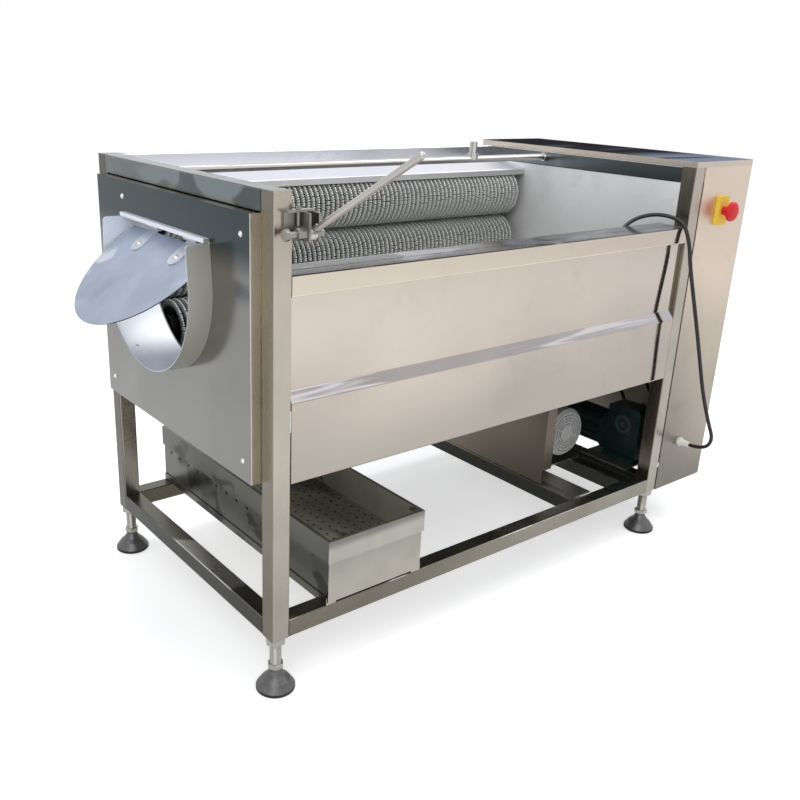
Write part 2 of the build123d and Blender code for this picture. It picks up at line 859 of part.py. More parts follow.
def cord_gland():
    """Gland on the cabinet front: flange nut and tapering strain relief."""
    nut = extrude(RegularPolygon(gland_nut_radius, 6), 9)
    taper = Pos(0, 0, 9 + (gland_length - 9) / 2) * Cone(gland_nut_radius * 0.78, cord_radius + 2, gland_length - 9)
    body = nut + taper
    return Pos(gland_place, cabinet_face, gland_height) * Rot(90, 0, 0) * body


# ------------------------------------------------------------ rollers and drive
def sprocket(width):
    """Toothed wheel about Z, made from one tooth outline repeated round the rim."""
    points = []
    step = 2 * math.pi / sprocket_teeth
    for number in range(sprocket_teeth):
        for share, radius in ((-0.36, root_radius), (-0.12, tip_radius), (0.12, tip_radius), (0.36, root_radius)):
            angle = (number + share) * step
            points.append((radius * math.cos(angle), radius * math.sin(angle)))
    return extrude(make_face(Polyline(*points, close=True)), width)


def sprocket_at(x, y, z):
    """A sprocket in the plane x, turning about X."""
    return Pos(x, y, z) * Rot(0, 90, 0) * sprocket(sprocket_width)


brush_start = trough_left + brush_gap_left
brush_end = trough_right - brush_gap_right


def roller_core(number):
    """Steel shaft of one roller with its chain sprocket."""
    y, z = roller_centre(number)
    last = drive_plane if number == driven_roller else sprocket_plane
    shaft_end = last + sprocket_width * 2
    core = rod_x(shaft_radius, (end_plate_outer - bearing_width - 4, shaft_end), y, z)
    core += sprocket_at(sprocket_plane, y, z)
    if number == driven_roller:
        core += sprocket_at(drive_plane, y, z)
    return core


def roller_brush(number):
    """Plastic core tube on the shaft with lengthwise rows of bristles."""
    y, z = roller_centre(number)
    points = []
    step = 2 * math.pi / bristle_rows
    valley = roller_radius - bristle_row_depth
    for row in range(bristle_rows):
        for share, radius in ((-0.36, roller_radius), (0.0, roller_radius), (0.36, roller_radius), (0.5, valley)):
            angle = (row + share) * step
            points.append((radius * math.cos(angle), radius * math.sin(angle)))
    sleeve = extrude(make_face(Polyline(*points, close=True)), brush_end - brush_start)
    length = brush_end - brush_start + 2 * core_collar
    sleeve += Pos(0, 0, length / 2 - core_collar) * Cylinder(core_radius, length)
    sleeve -= Cylinder(shaft_radius, length * 3)
    return Pos(brush_start, y, z) * Rot(0, 90, 0) * sleeve


def roller_bearings():
    """Flange bearings outside both end walls."""
    bearings = []
    spans = ((end_plate_outer - bearing_width, end_plate_outer), (partition_far, partition_far + bearing_width))
    for number in range(1, roller_count + 1):
        y, z = roller_centre(number)
        for low, high in spans:
            ring = rod_x(bearing_radius, (low, high), y, z)
            bore = rod_x(shaft_radius + running_clearance, (low - 1, high + 1), y, z)
            bearings.append(ring - bore)
    return Compound(children=bearings)


def chain_loop(places, x):
    """A closed chain round equal sprockets, as a band just outside their teeth."""
    inner = []
    outer = []
    for y, z in places:
        radius = tip_radius + chain_clearance
        inner.append(Pos(y, z) * CenterArc((0, 0), radius, 0, 360))
        outer.append(Pos(y, z) * CenterArc((0, 0), radius + chain_height, 0, 360))
    band = make_hull([edge.edge() for edge in outer]) - make_hull([edge.edge() for edge in inner])
    solid = extrude(Plane.YZ * band, chain_width, dir=(1, 0, 0))
    return Pos(x + (sprocket_width - chain_width) / 2, 0, 0) * solid


def drive_chains():
    centres = [roller_centre(number) for number in range(1, roller_count + 1)]
    roller_loop = chain_loop(centres, sprocket_plane)
    output = (gearbox_output_depth, gearbox_output_height)
    drive_loop = chain_loop([roller_centre(driven_roller), output], drive_plane)
    return Compound(children=[roller_loop, drive_loop])


def drive_sprocket():
    """Output sprocket on the gearbox shaft."""
    y, z = gearbox_output_depth, gearbox_output_height
    shaft = rod_x(gearbox_shaft_radius, (gearbox_left + 4, drive_plane + sprocket_width * 2), y, z)
    return shaft + sprocket_at(drive_plane, y, z)


def gearbox():
    """Worm gearbox with rounded edges, output bosses and a foot."""
    y, z = gearbox_output_depth, gearbox_output_height
    foot = rail_top + base_plate
    x_span = (gearbox_left, gearbox_left + gearbox_width)
    body = block(x_span, (gearbox_front, gearbox_back), (foot, foot + gearbox_height))
    body = fillet(body.edges().filter_by(Axis.X), gearbox_corner)
    body += rod_x(gearbox_boss_radius, (x_span[0] - gearbox_boss_height, x_span[1] + gearbox_boss_height), y, z)
    foot_x = (x_span[0] - gearbox_foot_reach, x_span[1] + gearbox_foot_reach)
    foot_y = (gearbox_front + gearbox_foot_inset, gearbox_back - gearbox_foot_inset)
    body += block(foot_x, foot_y, (foot, foot + gearbox_foot_height))
    bore = rod_x(gearbox_shaft_radius + running_clearance, (x_span[0] + 2, x_span[1] + 20), y, z)
    return body - bore


def finned_motor(radius, length, fins):
    """Motor body about Z with lengthwise cooling fins."""
    body = Cylinder(radius - fin_depth, length, align=(Align.CENTER, Align.CENTER, Align.MIN))
    fin = Pos(radius - fin_depth, 0, length / 2) * Box(fin_depth * 2, fin_width, length * 0.9)
    for number in range(fins):
        body += Rot(0, 0, 360 / fins * (number + 0.5)) * fin
    return body


def gear_motor():
    """Motor flanged to the back of the gearbox, with its fan cover."""
    flange = Cylinder(motor_flange_radius, motor_flange_width, align=(Align.CENTER, Align.CENTER, Align.MIN))
    body = Pos(0, 0, motor_flange_width) * finned_motor(motor_radius, motor_length, motor_fins)
    cover = Pos(0, 0, motor_flange_width + motor_length) * Cylinder(
        motor_radius, motor_cover_length, align=(Align.CENTER, Align.CENTER, Align.MIN))
    motor = flange + body + cover
    return Pos(gearbox_middle, gearbox_back, motor_height) * Rot(-90, 0, 0) * motor


def pump_motor():
    """Finned motor with two feet on the base plate."""
    start = pump_front + pump_cover_length
    body = finned_motor(pump_motor_radius, pump_motor_length, motor_fins)
    body = Pos(pump_place, start, pump_level) * Rot(-90, 0, 0) * body
    low = rail_top + base_plate
    half = pump_foot_depth / 2
    width = pump_motor_radius * 0.9
    for share in (0.25, 0.75):
        y = start + pump_motor_length * share
        foot = block((pump_place - width, pump_place + width), (y - half, y + half), (low, pump_level))
        body += foot - rod_y(pump_motor_radius - half, pump_place, (y - tube, y + tube), pump_level)
    return body


def pump_fan_cover():
    """Fan cover with ring slots between ribs, facing the operator's side."""
    length = pump_cover_length
    cover = Cylinder(pump_cover_radius, length, align=(Align.CENTER, Align.CENTER, Align.MIN))
    cover = chamfer(cover.edges().group_by(Axis.Z)[-1], pump_cover_edge)
    rib = Box(pump_cover_radius * 2, grille_ring, length * 4)
    for number in range(grille_rings):
        outer = pump_cover_radius - pump_cover_edge - grille_ring - number * (grille_ring + grille_gap)
        slot = Cylinder(outer, grille_depth * 2) - Cylinder(outer - grille_gap, grille_depth * 3)
        for turn in range(grille_ribs):
            slot -= Rot(0, 0, 180 / grille_ribs * (turn + 0.5)) * rib
        cover -= Pos(0, 0, length) * slot
    return Pos(pump_place, pump_front + length, pump_level) * Rot(90, 0, 0) * cover


def pump_volute():
    """Pump casing with its suction eye and upward outlet."""
    start = pump_front + pump_cover_length + pump_motor_length
    end = start + pump_volute_length
    casing = rod_y(pump_volute_radius, pump_place, (start, end), pump_level)
    casing += rod_y(pump_suction_radius, pump_place, (start, end + pump_suction_length), pump_level)
    outlet_x = pump_place + pump_volute_radius - pump_outlet_radius
    middle_y = start + pump_volute_length / 2
    outlet_top = pump_level + pump_volute_radius + pump_outlet_rise
    casing += rod_z(pump_outlet_radius, outlet_x, middle_y, (pump_level, outlet_top))
    casing -= rod_z(pump_outlet_bore, outlet_x, middle_y, (pump_level + pump_outlet_radius, outlet_top + 1))
    eye = (start + pump_volute_length * 0.6, end + pump_suction_length + 1)
    return casing - rod_y(pump_suction_bore, pump_place, eye, pump_level)


def drive_base_plates():
    """Steel plates that carry the pump and the gearbox on the bottom rails."""
    z_span = (rail_top, rail_top + base_plate)
    plate_front = pump_front + pump_plate_start
    near = middle_rail + tube / 2
    pump_plate = block((near, pump_rail + tube), (plate_front, plate_front + pump_plate_length), z_span)
    pump_plate += block((near, middle_rail + tube * 2), (inner_front, plate_front), z_span)
    gear_y = (gearbox_front - gear_plate_margin, gearbox_back + gear_plate_tail)
    gear_plate = block((trough_right, right - tube / 2), gear_y, z_span)
    return Compound(children=[pump_plate, gear_plate])


def zone_plate():
    """Upright plate that keeps spray off the pump, folded at its front edge."""
    x = middle_rail + zone_plate_step
    y = front + zone_plate_inset
    z_span = (rail_top, skirt_bottom - 2)
    plate = block((x, x + sheet), (y, inner_back), z_span)
    return plate + block((x, x + zone_plate_flange), (y, y + sheet), (rail_top + tube, z_span[1]))


# ------------------------------------------------------------ water box and tray
def water_box():
    """Open box that slides out at the front, with a row of overflow holes."""
    box = block((box_left, box_right), (box_front, box_back), (box_bottom, box_top))
    inside = block((box_left + box_sheet, box_right - box_sheet),
                   (box_front + box_sheet, box_back - box_sheet), (box_bottom + box_sheet, box_top + 1))
    box -= inside
    z = box_top + sheet - tray_collar - overflow_hole_drop
    for number in range(overflow_hole_count):
        y = box_back - tube - overflow_hole_pitch * number
        box -= rod_x(overflow_hole_radius, (box_left - 1, box_left + box_sheet + 1), y, z)
    return box


def perforated_tray():
    """Catch tray that hangs in the box by a collar folded over its edge."""
    out = tray_clearance + sheet
    collar = block((box_left - out, box_right + out), (box_front - out, box_back + out),
                   (tray_top - tray_collar, tray_top))
    inset = box_sheet + tray_clearance
    basin_x = (box_left + inset, box_right - inset)
    basin_y = (box_front + inset, box_back - inset)
    floor = tray_top - tray_depth
    basin = block(basin_x, basin_y, (floor, tray_top))
    slot = block((box_left - tray_clearance, box_right + tray_clearance),
                 (box_front - tray_clearance, box_back + tray_clearance),
                 (tray_top - tray_collar - 1, tray_top - sheet))
    tray = collar - slot + basin
    tray -= block((basin_x[0] + sheet, basin_x[1] - sheet), (basin_y[0] + sheet, basin_y[1] - sheet),
                  (floor + sheet, tray_top + 1))
    columns = int((box_width - tray_hole_pitch) / tray_hole_pitch)
    rows = int((box_back - box_front - tray_hole_pitch) / tray_hole_pitch)
    hole = extrude(RegularPolygon(tray_hole_radius, 6), sheet * 3)
    holes = []
    for row in range(rows):
        for column in range(columns):
            x = box_left + box_width / 2 + (column - (columns - 1) / 2) * tray_hole_pitch
            x += tray_hole_pitch / 4 if row % 2 else -tray_hole_pitch / 4
            y = box_front + tray_hole_pitch * (row + 1)
            holes.append(Pos(x, y, floor - sheet) * hole)
    return tray - holes


def box_runners():
    """Angles on the bottom rails that guide the water box."""
    runners = []
    y_span = (front, back)
    for x, side in ((box_left, -1), (box_right, 1)):
        flat = block(sorted_span(x - side * runner_width, x + side * (sheet + seam_gap)), y_span,
                     (rail_top, box_bottom))
        guide = block(sorted_span(x + side * seam_gap, x + side * (sheet + seam_gap)), y_span,
                      (rail_top, box_bottom + runner_width / 2))
        runners.append(flat + guide)
    return Compound(children=runners)


def sorted_span(first, second):
    return min(first, second), max(first, second)


# ------------------------------------------------------------ supply lead
cord_route = [
    (1340, cabinet_face - gland_length, 255),
    (1340, -100, 257),
    (1332, -127, 296),
    (1310, -117, 349),
    (1289, -98, 433),
    (1267, -88, 519),
    (1246, -76, 609),
    (1230, -59, 699),
    (1217, -44, 778),
    (1207, -39, 833),
    (1195, -22, 883),
    (1183, 19, 896),
    (1149, 52, 896),
    (1106, 75, 879),
    (1066, 77, 846),
    (1037, 77, 820),
    (985, 76, 794),
    (880, 75.4, 793.2),
    (762, 76, 793.6),
    (690, 76.5, 794.5),
    (632, 80.5, 800.5),
    (578, 85.6, 807.4),
    (526, 86.6, 808.2),
]


def corner_radii(points):
    """Largest arc at each corner of a route that its two runs allow."""
    radii = []
    for before, corner, after in zip(points, points[1:], points[2:]):
        run_in = Vector(*corner) - Vector(*before)
        run_out = Vector(*after) - Vector(*corner)
        turn = math.radians(run_in.get_angle(run_out))
        shorter = min(run_in.length, run_out.length)
        radii.append(0.45 * shorter / math.tan(turn / 2))
    return radii


def cord_path():
    return FilletPolyline(*cord_route, radius=corner_radii(cord_route))


def power_cord():
    path = cord_path()
    start = Plane(origin=path @ 0, z_dir=path % 0)
    return sweep(start * Circle(cord_radius), path=path)


def power_plug():
    """Round moulded plug with two pins and a tapering relief, lying on the rollers."""
    end = Vector(*cord_route[-1])
    before = Vector(*cord_route[-2])
    place = Plane(origin=end, z_dir=end - before)
    neck = Pos(0, 0, plug_neck / 2) * Cone(cord_radius + 1, plug_radius * 0.7, plug_neck)
    body = Pos(0, 0, plug_neck) * extrude(Circle(plug_radius * 0.7), plug_length)
    face = Pos(0, 0, plug_neck + plug_length - 8) * extrude(Circle(plug_radius * 0.85), 8)
    plug = neck + body + face
    for side in (-0.5, 0.5):
        pin = Cylinder(plug_pin_radius, plug_pin_length, align=(Align.CENTER, Align.CENTER, Align.MIN))
        plug += Pos(0, side * plug_pin_spread, plug_neck + plug_length) * pin
    return place.location * plug


# ------------------------------------------------------------ files
save("frame_posts", frame_posts())
save("bottom_long_rails", bottom_long_rails())
save("bottom_cross_rails", bottom_cross_rails())
save("top_rails", top_rails())
save("front_rim_rail", front_rim_rail())
save("foot_pads", foot_pads())
save("foot_stems", foot_stems())
save("left_end_plate", left_end_plate())
save("partition_plate", partition_plate())
save("front_panel", front_panel())
save("trough_lip", trough_lip())
save("back_panel", back_panel())
save("trough_shell", trough_shell())
save("guard_lip", guard_lip())
save("left_end_cover", left_end_cover())
save("left_cover_screws", left_cover_screws())
save("discharge_duct", discharge_duct())
save("flap_hinge_brackets", flap_hinge_brackets())
save("flap", flap())
save("flap_straps", flap_straps())
save("lever_bracket", lever_bracket())
save("lever", lever())
save("lever_fasteners", lever_fasteners())
save("spray_pipe", spray_pipe())
save("cabinet_front_cover", cabinet_front_cover())
save("cabinet_rear_wrap", cabinet_rear_wrap())
save("cabinet_lid", cabinet_lid())
save("estop_box", estop_box())
save("estop_stem", estop_stem())
save("estop_head", estop_head())
save("cord_gland", cord_gland())
for roller_number in range(1, roller_count + 1):
    save(f"roller_{roller_number}_core", roller_core(roller_number))
    save(f"roller_{roller_number}_brush", roller_brush(roller_number))
save("roller_bearings", roller_bearings())
save("drive_chains", drive_chains())
save("drive_sprocket", drive_sprocket())
save("gearbox", gearbox())
save("gear_motor", gear_motor())
save("pump_motor", pump_motor())
save("pump_fan_cover", pump_fan_cover())
save("pump_volute", pump_volute())
save("drive_base_plates", drive_base_plates())
save("zone_plate", zone_plate())
save("water_box", water_box())
save("perforated_tray", perforated_tray())
save("box_runners", box_runners())
save("power_cord", power_cord())
save("power_plug", power_plug())

route_radii = corner_radii(cord_route)
print("cord radii", [round(radius) for radius in route_radii])
cord_length = cord_path().length
print("cord length", round(cord_length))
section = math.pi * cord_radius ** 2
print("cord volume ratio", round(power_cord().volume / (section * cord_length), 4))
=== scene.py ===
# %% [markdown]
# # A brush-roller peeling machine, dressed in Blender
# The machine is a welded frame of square stainless tube that carries a trough
# with seven brush rollers.  The solids of the frame, sheets and drive are
# already exact, so this file loads them, gives every surface its finish and
# adds what repeats too often or is too fine for a solid model: the bristles,
# the tray's holes, the threads of the feet and the cover's screws.

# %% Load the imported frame
import bmesh
import bpy
import math
from mathutils import Matrix, Vector


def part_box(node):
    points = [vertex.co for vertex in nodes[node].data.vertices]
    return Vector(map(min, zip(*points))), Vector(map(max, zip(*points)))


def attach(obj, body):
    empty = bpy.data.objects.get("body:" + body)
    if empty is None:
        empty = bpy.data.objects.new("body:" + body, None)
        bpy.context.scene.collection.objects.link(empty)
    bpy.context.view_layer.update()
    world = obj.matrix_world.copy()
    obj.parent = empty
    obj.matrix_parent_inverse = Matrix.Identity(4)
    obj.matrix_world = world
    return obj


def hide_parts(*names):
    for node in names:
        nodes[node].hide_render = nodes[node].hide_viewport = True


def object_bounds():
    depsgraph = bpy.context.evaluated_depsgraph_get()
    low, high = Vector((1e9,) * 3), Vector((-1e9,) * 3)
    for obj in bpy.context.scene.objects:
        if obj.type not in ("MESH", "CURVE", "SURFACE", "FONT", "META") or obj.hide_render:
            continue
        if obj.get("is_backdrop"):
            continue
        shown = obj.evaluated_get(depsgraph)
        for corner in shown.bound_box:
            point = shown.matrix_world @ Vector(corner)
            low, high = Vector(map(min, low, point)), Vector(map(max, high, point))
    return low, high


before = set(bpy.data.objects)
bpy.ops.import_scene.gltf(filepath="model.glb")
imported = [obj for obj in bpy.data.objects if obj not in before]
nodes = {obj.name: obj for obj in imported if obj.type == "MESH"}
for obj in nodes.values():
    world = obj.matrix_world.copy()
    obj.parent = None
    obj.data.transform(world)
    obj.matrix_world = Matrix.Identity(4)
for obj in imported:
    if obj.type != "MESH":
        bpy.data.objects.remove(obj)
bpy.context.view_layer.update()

# %% [markdown]
# The camera stands to the left of the operator, a little above the trough.
# Its place and turn are given as numbers, so that the view can be read and
# repeated.  A turn is built from three plain rotations: yaw about the
# upright, pitch down towards the floor and a small roll about the view axis.
# The lens follows from the focal length in pixels of an 800 pixel image.

# %% Camera
IMAGE_WIDTH = 800
SENSOR_WIDTH = 36.0
focal_pixels = 889.73
centre_pixel = (361.21, 395.84)
camera_place = (-0.8317, -1.30096, 1.20094)
yaw, pitch, roll = 0.67, 0.345, 0.037

camera_data = bpy.data.cameras.new("camera")
camera_data.sensor_width = SENSOR_WIDTH
camera_data.lens = focal_pixels / IMAGE_WIDTH * SENSOR_WIDTH
camera_data.shift_x = (IMAGE_WIDTH / 2 - centre_pixel[0]) / IMAGE_WIDTH
camera_data.shift_y = (centre_pixel[1] - IMAGE_WIDTH / 2) / IMAGE_WIDTH
camera_data.clip_end = 60.0
camera = bpy.data.objects.new("camera", camera_data)
bpy.context.scene.collection.objects.link(camera)
yaw_turn = Matrix.Rotation(-yaw, 4, "Z")
pitch_turn = Matrix.Rotation(math.pi / 2 - pitch, 4, "X")
turn = yaw_turn @ pitch_turn @ Matrix.Rotation(roll, 4, "Z")
camera.matrix_world = Matrix.Translation(camera_place) @ turn
bpy.context.scene.camera = camera
print("lens", round(camera_data.lens, 2), "mm")

# %% [markdown]
# The supply lead leaves a white gland on the cabinet, bends upwards, climbs
# in front of the cabinet and is thrown over the rim into the trough, where
# its plug lies on the front roller.  One NURBS curve of order 3 makes it: the
# control points pull a soft line past them, which is how a stiff lead bends.
# The lead's radius is carried by the points, and the bevel only scales it.

# %% Supply lead
lead_radius = 0.005
lead_route = [
    (1340, -55.5, 255), (1340, -100, 257), (1332, -127, 296), (1310, -117, 349),
    (1289, -98, 433), (1267, -88, 519), (1246, -76, 609), (1230, -59, 699),
    (1217, -44, 778), (1207, -39, 833), (1195, -22, 883), (1183, 19, 896),
    (1149, 52, 896), (1106, 75, 879), (1066, 77, 846), (1037, 77, 820),
    (985, 76, 794), (880, 75.4, 793.2), (762, 76, 793.6), (690, 76.5, 794.5),
    (632, 80.5, 800.5), (578, 85.6, 807.4), (526, 86.6, 808.2),
]


def lead_curve(name, points, radius):
    """A round lead through control points given in millimetres."""
    curve = bpy.data.curves.new(name, "CURVE")
    curve.dimensions = "3D"
    spline = curve.splines.new("NURBS")
    spline.points.add(len(points) - 1)
    for point, place in zip(spline.points, points):
        point.co = (place[0] / 1000, place[1] / 1000, place[2] / 1000, 1.0)
        point.radius = radius
    spline.order_u = 3
    spline.use_endpoint_u = True
    spline.resolution_u = 10
    curve.bevel_depth = 1.0
    curve.bevel_resolution = 5
    curve.use_fill_caps = True
    piece = bpy.data.objects.new(name, curve)
    bpy.context.scene.collection.objects.link(piece)
    return piece


lead = lead_curve("supply_lead", lead_route, lead_radius)
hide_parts("power_cord")
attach(lead, "machine")
print("lead points", len(lead_route))

# %% [markdown]
# A product shot needs only a pale floor, a pale world and a few soft lamps.
# The floor is one large face, far wider than the picture, so that no edge
# of it shows.

# %% Floor
def new_mesh(name, vertices, faces):
    """A mesh object from plain lists, placed at the origin."""
    mesh = bpy.data.meshes.new(name)
    mesh.from_pydata(vertices, [], faces)
    mesh.update()
    piece = bpy.data.objects.new(name, mesh)
    bpy.context.scene.collection.objects.link(piece)
    return piece


floor_reach = 14.0
corners = [(-floor_reach, -floor_reach, 0), (floor_reach, -floor_reach, 0),
           (floor_reach, floor_reach, 0), (-floor_reach, floor_reach, 0)]
floor = new_mesh("studio_floor", corners, [(0, 1, 2, 3)])
floor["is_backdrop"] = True
print("floor", 2 * floor_reach, "m wide")

# %% [markdown]
# The world is plain white where the camera, a mirror reflection or glass
# sees it, and dimmer where it lights the object, which keeps the colours near
# the values written below.  Node trees are built by small helpers from here
# on: one feeds a value or a link to a socket, one makes a Math node.

# %% World
def join(tree, source, target):
    """Links an output to an input."""
    tree.links.new(source, target)


def feed(tree, socket, value):
    """Links another node's output to an input, or sets the input to a plain value."""
    if hasattr(value, "is_linked"):
        join(tree, value, socket)
    else:
        socket.default_value = value


def math_node(tree, operation, first, second=0.0):
    """A Math node whose inputs are outputs of other nodes or plain numbers."""
    node = tree.nodes.new("ShaderNodeMath")
    node.operation = operation
    feed(tree, node.inputs[0], first)
    feed(tree, node.inputs[1], second)
    return node.outputs[0]


def background(tree, tint, strength):
    """A Background shader."""
    node = tree.nodes.new("ShaderNodeBackground")
    node.inputs["Color"].default_value = tint
    node.inputs["Strength"].default_value = strength
    return node.outputs[0]


world = bpy.data.worlds.new("studio")
world.use_nodes = True
bpy.context.scene.world = world
tree = world.node_tree
tree.nodes.clear()
path = tree.nodes.new("ShaderNodeLightPath")
seen = math_node(tree, "MAXIMUM", path.outputs["Is Camera Ray"], path.outputs["Is Glossy Ray"])
shown = math_node(tree, "MAXIMUM", seen, path.outputs["Is Transmission Ray"])
choice = tree.nodes.new("ShaderNodeMixShader")
output = tree.nodes.new("ShaderNodeOutputWorld")
join(tree, shown, choice.inputs["Fac"])
join(tree, background(tree, (0.93, 0.96, 1.0, 1), 0.62), choice.inputs[1])
join(tree, background(tree, (1, 1, 1, 1), 1.0), choice.inputs[2])
join(tree, choice.outputs[0], output.inputs["Surface"])
print("world nodes", len(tree.nodes))

# %% [markdown]
# Three large square lamps stand well away from the machine: a warm key at
# the left, a fill at the right and a cool one overhead.

# %% Lamps
def lamp(name, place, aim, power, size, tint=(1, 1, 1)):
    """A square area lamp that looks at a point."""
    data = bpy.data.lights.new(name, "AREA")
    data.energy = power
    data.size = size
    data.color = tint
    item = bpy.data.objects.new(name, data)
    bpy.context.scene.collection.objects.link(item)
    item.location = place
    item.rotation_euler = (Vector(aim) - Vector(place)).to_track_quat("-Z", "Y").to_euler()
    return item


machine_middle = (0.65, 0.35, 0.6)
lamps = [
    lamp("key_lamp", (-2.2, -2.4, 3.4), machine_middle, 45, 2.4, (1.0, 0.98, 0.95)),
    lamp("fill_lamp", (3.4, -1.0, 3.8), machine_middle, 30, 2.0),
    lamp("top_lamp", (0.6, 0.5, 4.2), machine_middle, 60, 2.2, (0.97, 0.98, 1.0)),
]
bpy.context.scene.view_settings.view_transform = "Standard"
print("lamps", len(lamps))

# %% [markdown]
# Colours are written as they should look on a screen, from 0 to 255, and a
# shader wants them linear, so one helper converts them.  The others each
# make one node and hand back its output.

# %% Shader node helpers
def colour(red, green, blue):
    """A display colour from 0 to 255, made linear for a shader socket."""
    def linear(value):
        value = value / 255
        return value / 12.92 if value <= 0.04045 else ((value + 0.055) / 1.055) ** 2.4
    return linear(red), linear(green), linear(blue), 1.0


def vector_node(tree, operation, first, second):
    """A Vector Math node; SCALE takes a number as its second input."""
    node = tree.nodes.new("ShaderNodeVectorMath")
    node.operation = operation
    feed(tree, node.inputs[0], first)
    feed(tree, node.inputs["Scale" if operation == "SCALE" else 1], second)
    return node.outputs[0]


def mix_colours(tree, factor, first, second):
    """A colour Mix node; each input is an output of another node or a plain value."""
    node = tree.nodes.new("ShaderNodeMix")
    node.data_type = "RGBA"
    for index, value in ((0, factor), (6, first), (7, second)):
        feed(tree, node.inputs[index], value)
    return node.outputs[2]


def ramp(tree, value, low, high):
    """Maps low..high to 0..1, with soft ends."""
    node = tree.nodes.new("ShaderNodeMapRange")
    node.interpolation_type = "SMOOTHSTEP"
    node.inputs["From Min"].default_value = low
    node.inputs["From Max"].default_value = high
    join(tree, value, node.inputs["Value"])
    return node.outputs[0]


def noise(tree, vector, scale, detail=2.0, roughness=0.5, distortion=0.0):
    """A Noise Texture."""
    node = tree.nodes.new("ShaderNodeTexNoise")
    join(tree, vector, node.inputs["Vector"])
    feed(tree, node.inputs["Scale"], scale)
    node.inputs["Detail"].default_value = detail
    node.inputs["Roughness"].default_value = roughness
    node.inputs["Distortion"].default_value = distortion
    return node.outputs["Fac"]


print("black and white", colour(0, 0, 0)[0], colour(255, 255, 255)[0])

# %% [markdown]
# Effects that several finishes share are shader groups with named inputs.
# The first, the painted sheet tone, paints light, shade and reflection on
# polished sheet: a drift from one colour to another along a chosen direction,
# with broad cloudy patches of painted reflection over it.

# %% Sheet tone group
COLOUR, NUMBER, VECTOR = "NodeSocketColor", "NodeSocketFloat", "NodeSocketVector"


def new_group(name, inputs, outputs):
    """An empty shader group with typed, named sockets."""
    group = bpy.data.node_groups.new(name, "ShaderNodeTree")
    for label, kind, value in inputs:
        socket = group.interface.new_socket(label, in_out="INPUT", socket_type=kind)
        socket.default_value = value
    for label, kind in outputs:
        group.interface.new_socket(label, in_out="OUTPUT", socket_type=kind)
    return group, group.nodes.new("NodeGroupInput"), group.nodes.new("NodeGroupOutput")


painted_tone_group, inside, leave = new_group(
    "Painted sheet tone",
    [("Vector", VECTOR, (0, 0, 0)), ("Along", NUMBER, 0.0), ("Start", COLOUR, (1, 1, 1, 1)),
     ("End", COLOUR, (1, 1, 1, 1)), ("Middle", NUMBER, 0.5), ("Blend", NUMBER, 0.2),
     ("Patch Scale", NUMBER, 3.0), ("Patch", NUMBER, 0.15)],
    [("Color", COLOUR)])
bend = noise(painted_tone_group, inside.outputs["Vector"], 2.1, 1.0)
centred = math_node(painted_tone_group, "SUBTRACT", bend, 0.5)
wander = math_node(painted_tone_group, "MULTIPLY", centred, inside.outputs["Blend"])
travel = math_node(painted_tone_group, "ADD", inside.outputs["Along"], wander)
past = math_node(painted_tone_group, "SUBTRACT", travel, inside.outputs["Middle"])
share = ramp(painted_tone_group, math_node(painted_tone_group, "DIVIDE", past, inside.outputs["Blend"]), -0.5, 0.5)
drift = mix_colours(painted_tone_group, share, inside.outputs["Start"], inside.outputs["End"])
cloud = noise(painted_tone_group, inside.outputs["Vector"], inside.outputs["Patch Scale"], 2.5, 0.45)
centred = math_node(painted_tone_group, "SUBTRACT", cloud, 0.5)
lift = math_node(painted_tone_group, "MULTIPLY", centred, inside.outputs["Patch"])
gain = math_node(painted_tone_group, "ADD", math_node(painted_tone_group, "MULTIPLY", lift, 2.0), 1.0)
join(painted_tone_group, vector_node(painted_tone_group, "SCALE", drift, gain), leave.inputs["Color"])
print("group", painted_tone_group.name, len(painted_tone_group.nodes), "nodes")

# %% [markdown]
# "Mill grain" gives the fine drawn lines of the rolling mill, as roughness
# and as height, and the slow waves of thin sheet.  "Smudge" is a mask of dull
# handling marks.  "Hall streaks" is a mask of long soft bands for painted
# reflections, like those that a mirror finish shows of windows and beams.

# %% Grain, smudge and streak groups
grain_group, inside, leave = new_group(
    "Mill grain",
    [("Vector", VECTOR, (0, 0, 0)), ("Stretch", VECTOR, (6, 900, 900)), ("Base", NUMBER, 0.2),
     ("Spread", NUMBER, 0.1)],
    [("Roughness", NUMBER), ("Height", NUMBER), ("Wave", NUMBER)])
drawn = vector_node(grain_group, "MULTIPLY", inside.outputs["Vector"], inside.outputs["Stretch"])
lines = noise(grain_group, drawn, 1.0, 2.0)
spread = math_node(grain_group, "MULTIPLY", lines, inside.outputs["Spread"])
dulled = math_node(grain_group, "ADD", spread, inside.outputs["Base"])
join(grain_group, dulled, leave.inputs["Roughness"])
join(grain_group, lines, leave.inputs["Height"])
join(grain_group, noise(grain_group, inside.outputs["Vector"], 4.5, 1.0), leave.inputs["Wave"])

smudge_group, inside, leave = new_group(
    "Smudge", [("Vector", VECTOR, (0, 0, 0)), ("Scale", NUMBER, 9.0), ("Amount", NUMBER, 0.5)],
    [("Mask", NUMBER)])
blot = noise(smudge_group, inside.outputs["Vector"], inside.outputs["Scale"], 6.0, 0.62, 0.6)
mark = math_node(smudge_group, "MULTIPLY", ramp(smudge_group, blot, 0.5, 0.74), inside.outputs["Amount"])
join(smudge_group, mark, leave.inputs["Mask"])

streak_group, inside, leave = new_group(
    "Hall streaks",
    [("Vector", VECTOR, (0, 0, 0)), ("Stretch", VECTOR, (3, 1, 1)), ("Share", NUMBER, 0.4)],
    [("Mask", NUMBER)])
drawn = vector_node(streak_group, "MULTIPLY", inside.outputs["Vector"], inside.outputs["Stretch"])
bands = noise(streak_group, drawn, 1.0, 2.0, 0.4, 0.8)
half_share = math_node(streak_group, "MULTIPLY", inside.outputs["Share"], 0.5)
edge = math_node(streak_group, "SUBTRACT", bands, math_node(streak_group, "SUBTRACT", 0.75, half_share))
join(streak_group, ramp(streak_group, edge, -0.05, 0.05), leave.inputs["Mask"])
print("groups", [group.name for group in (grain_group, smudge_group, streak_group)])

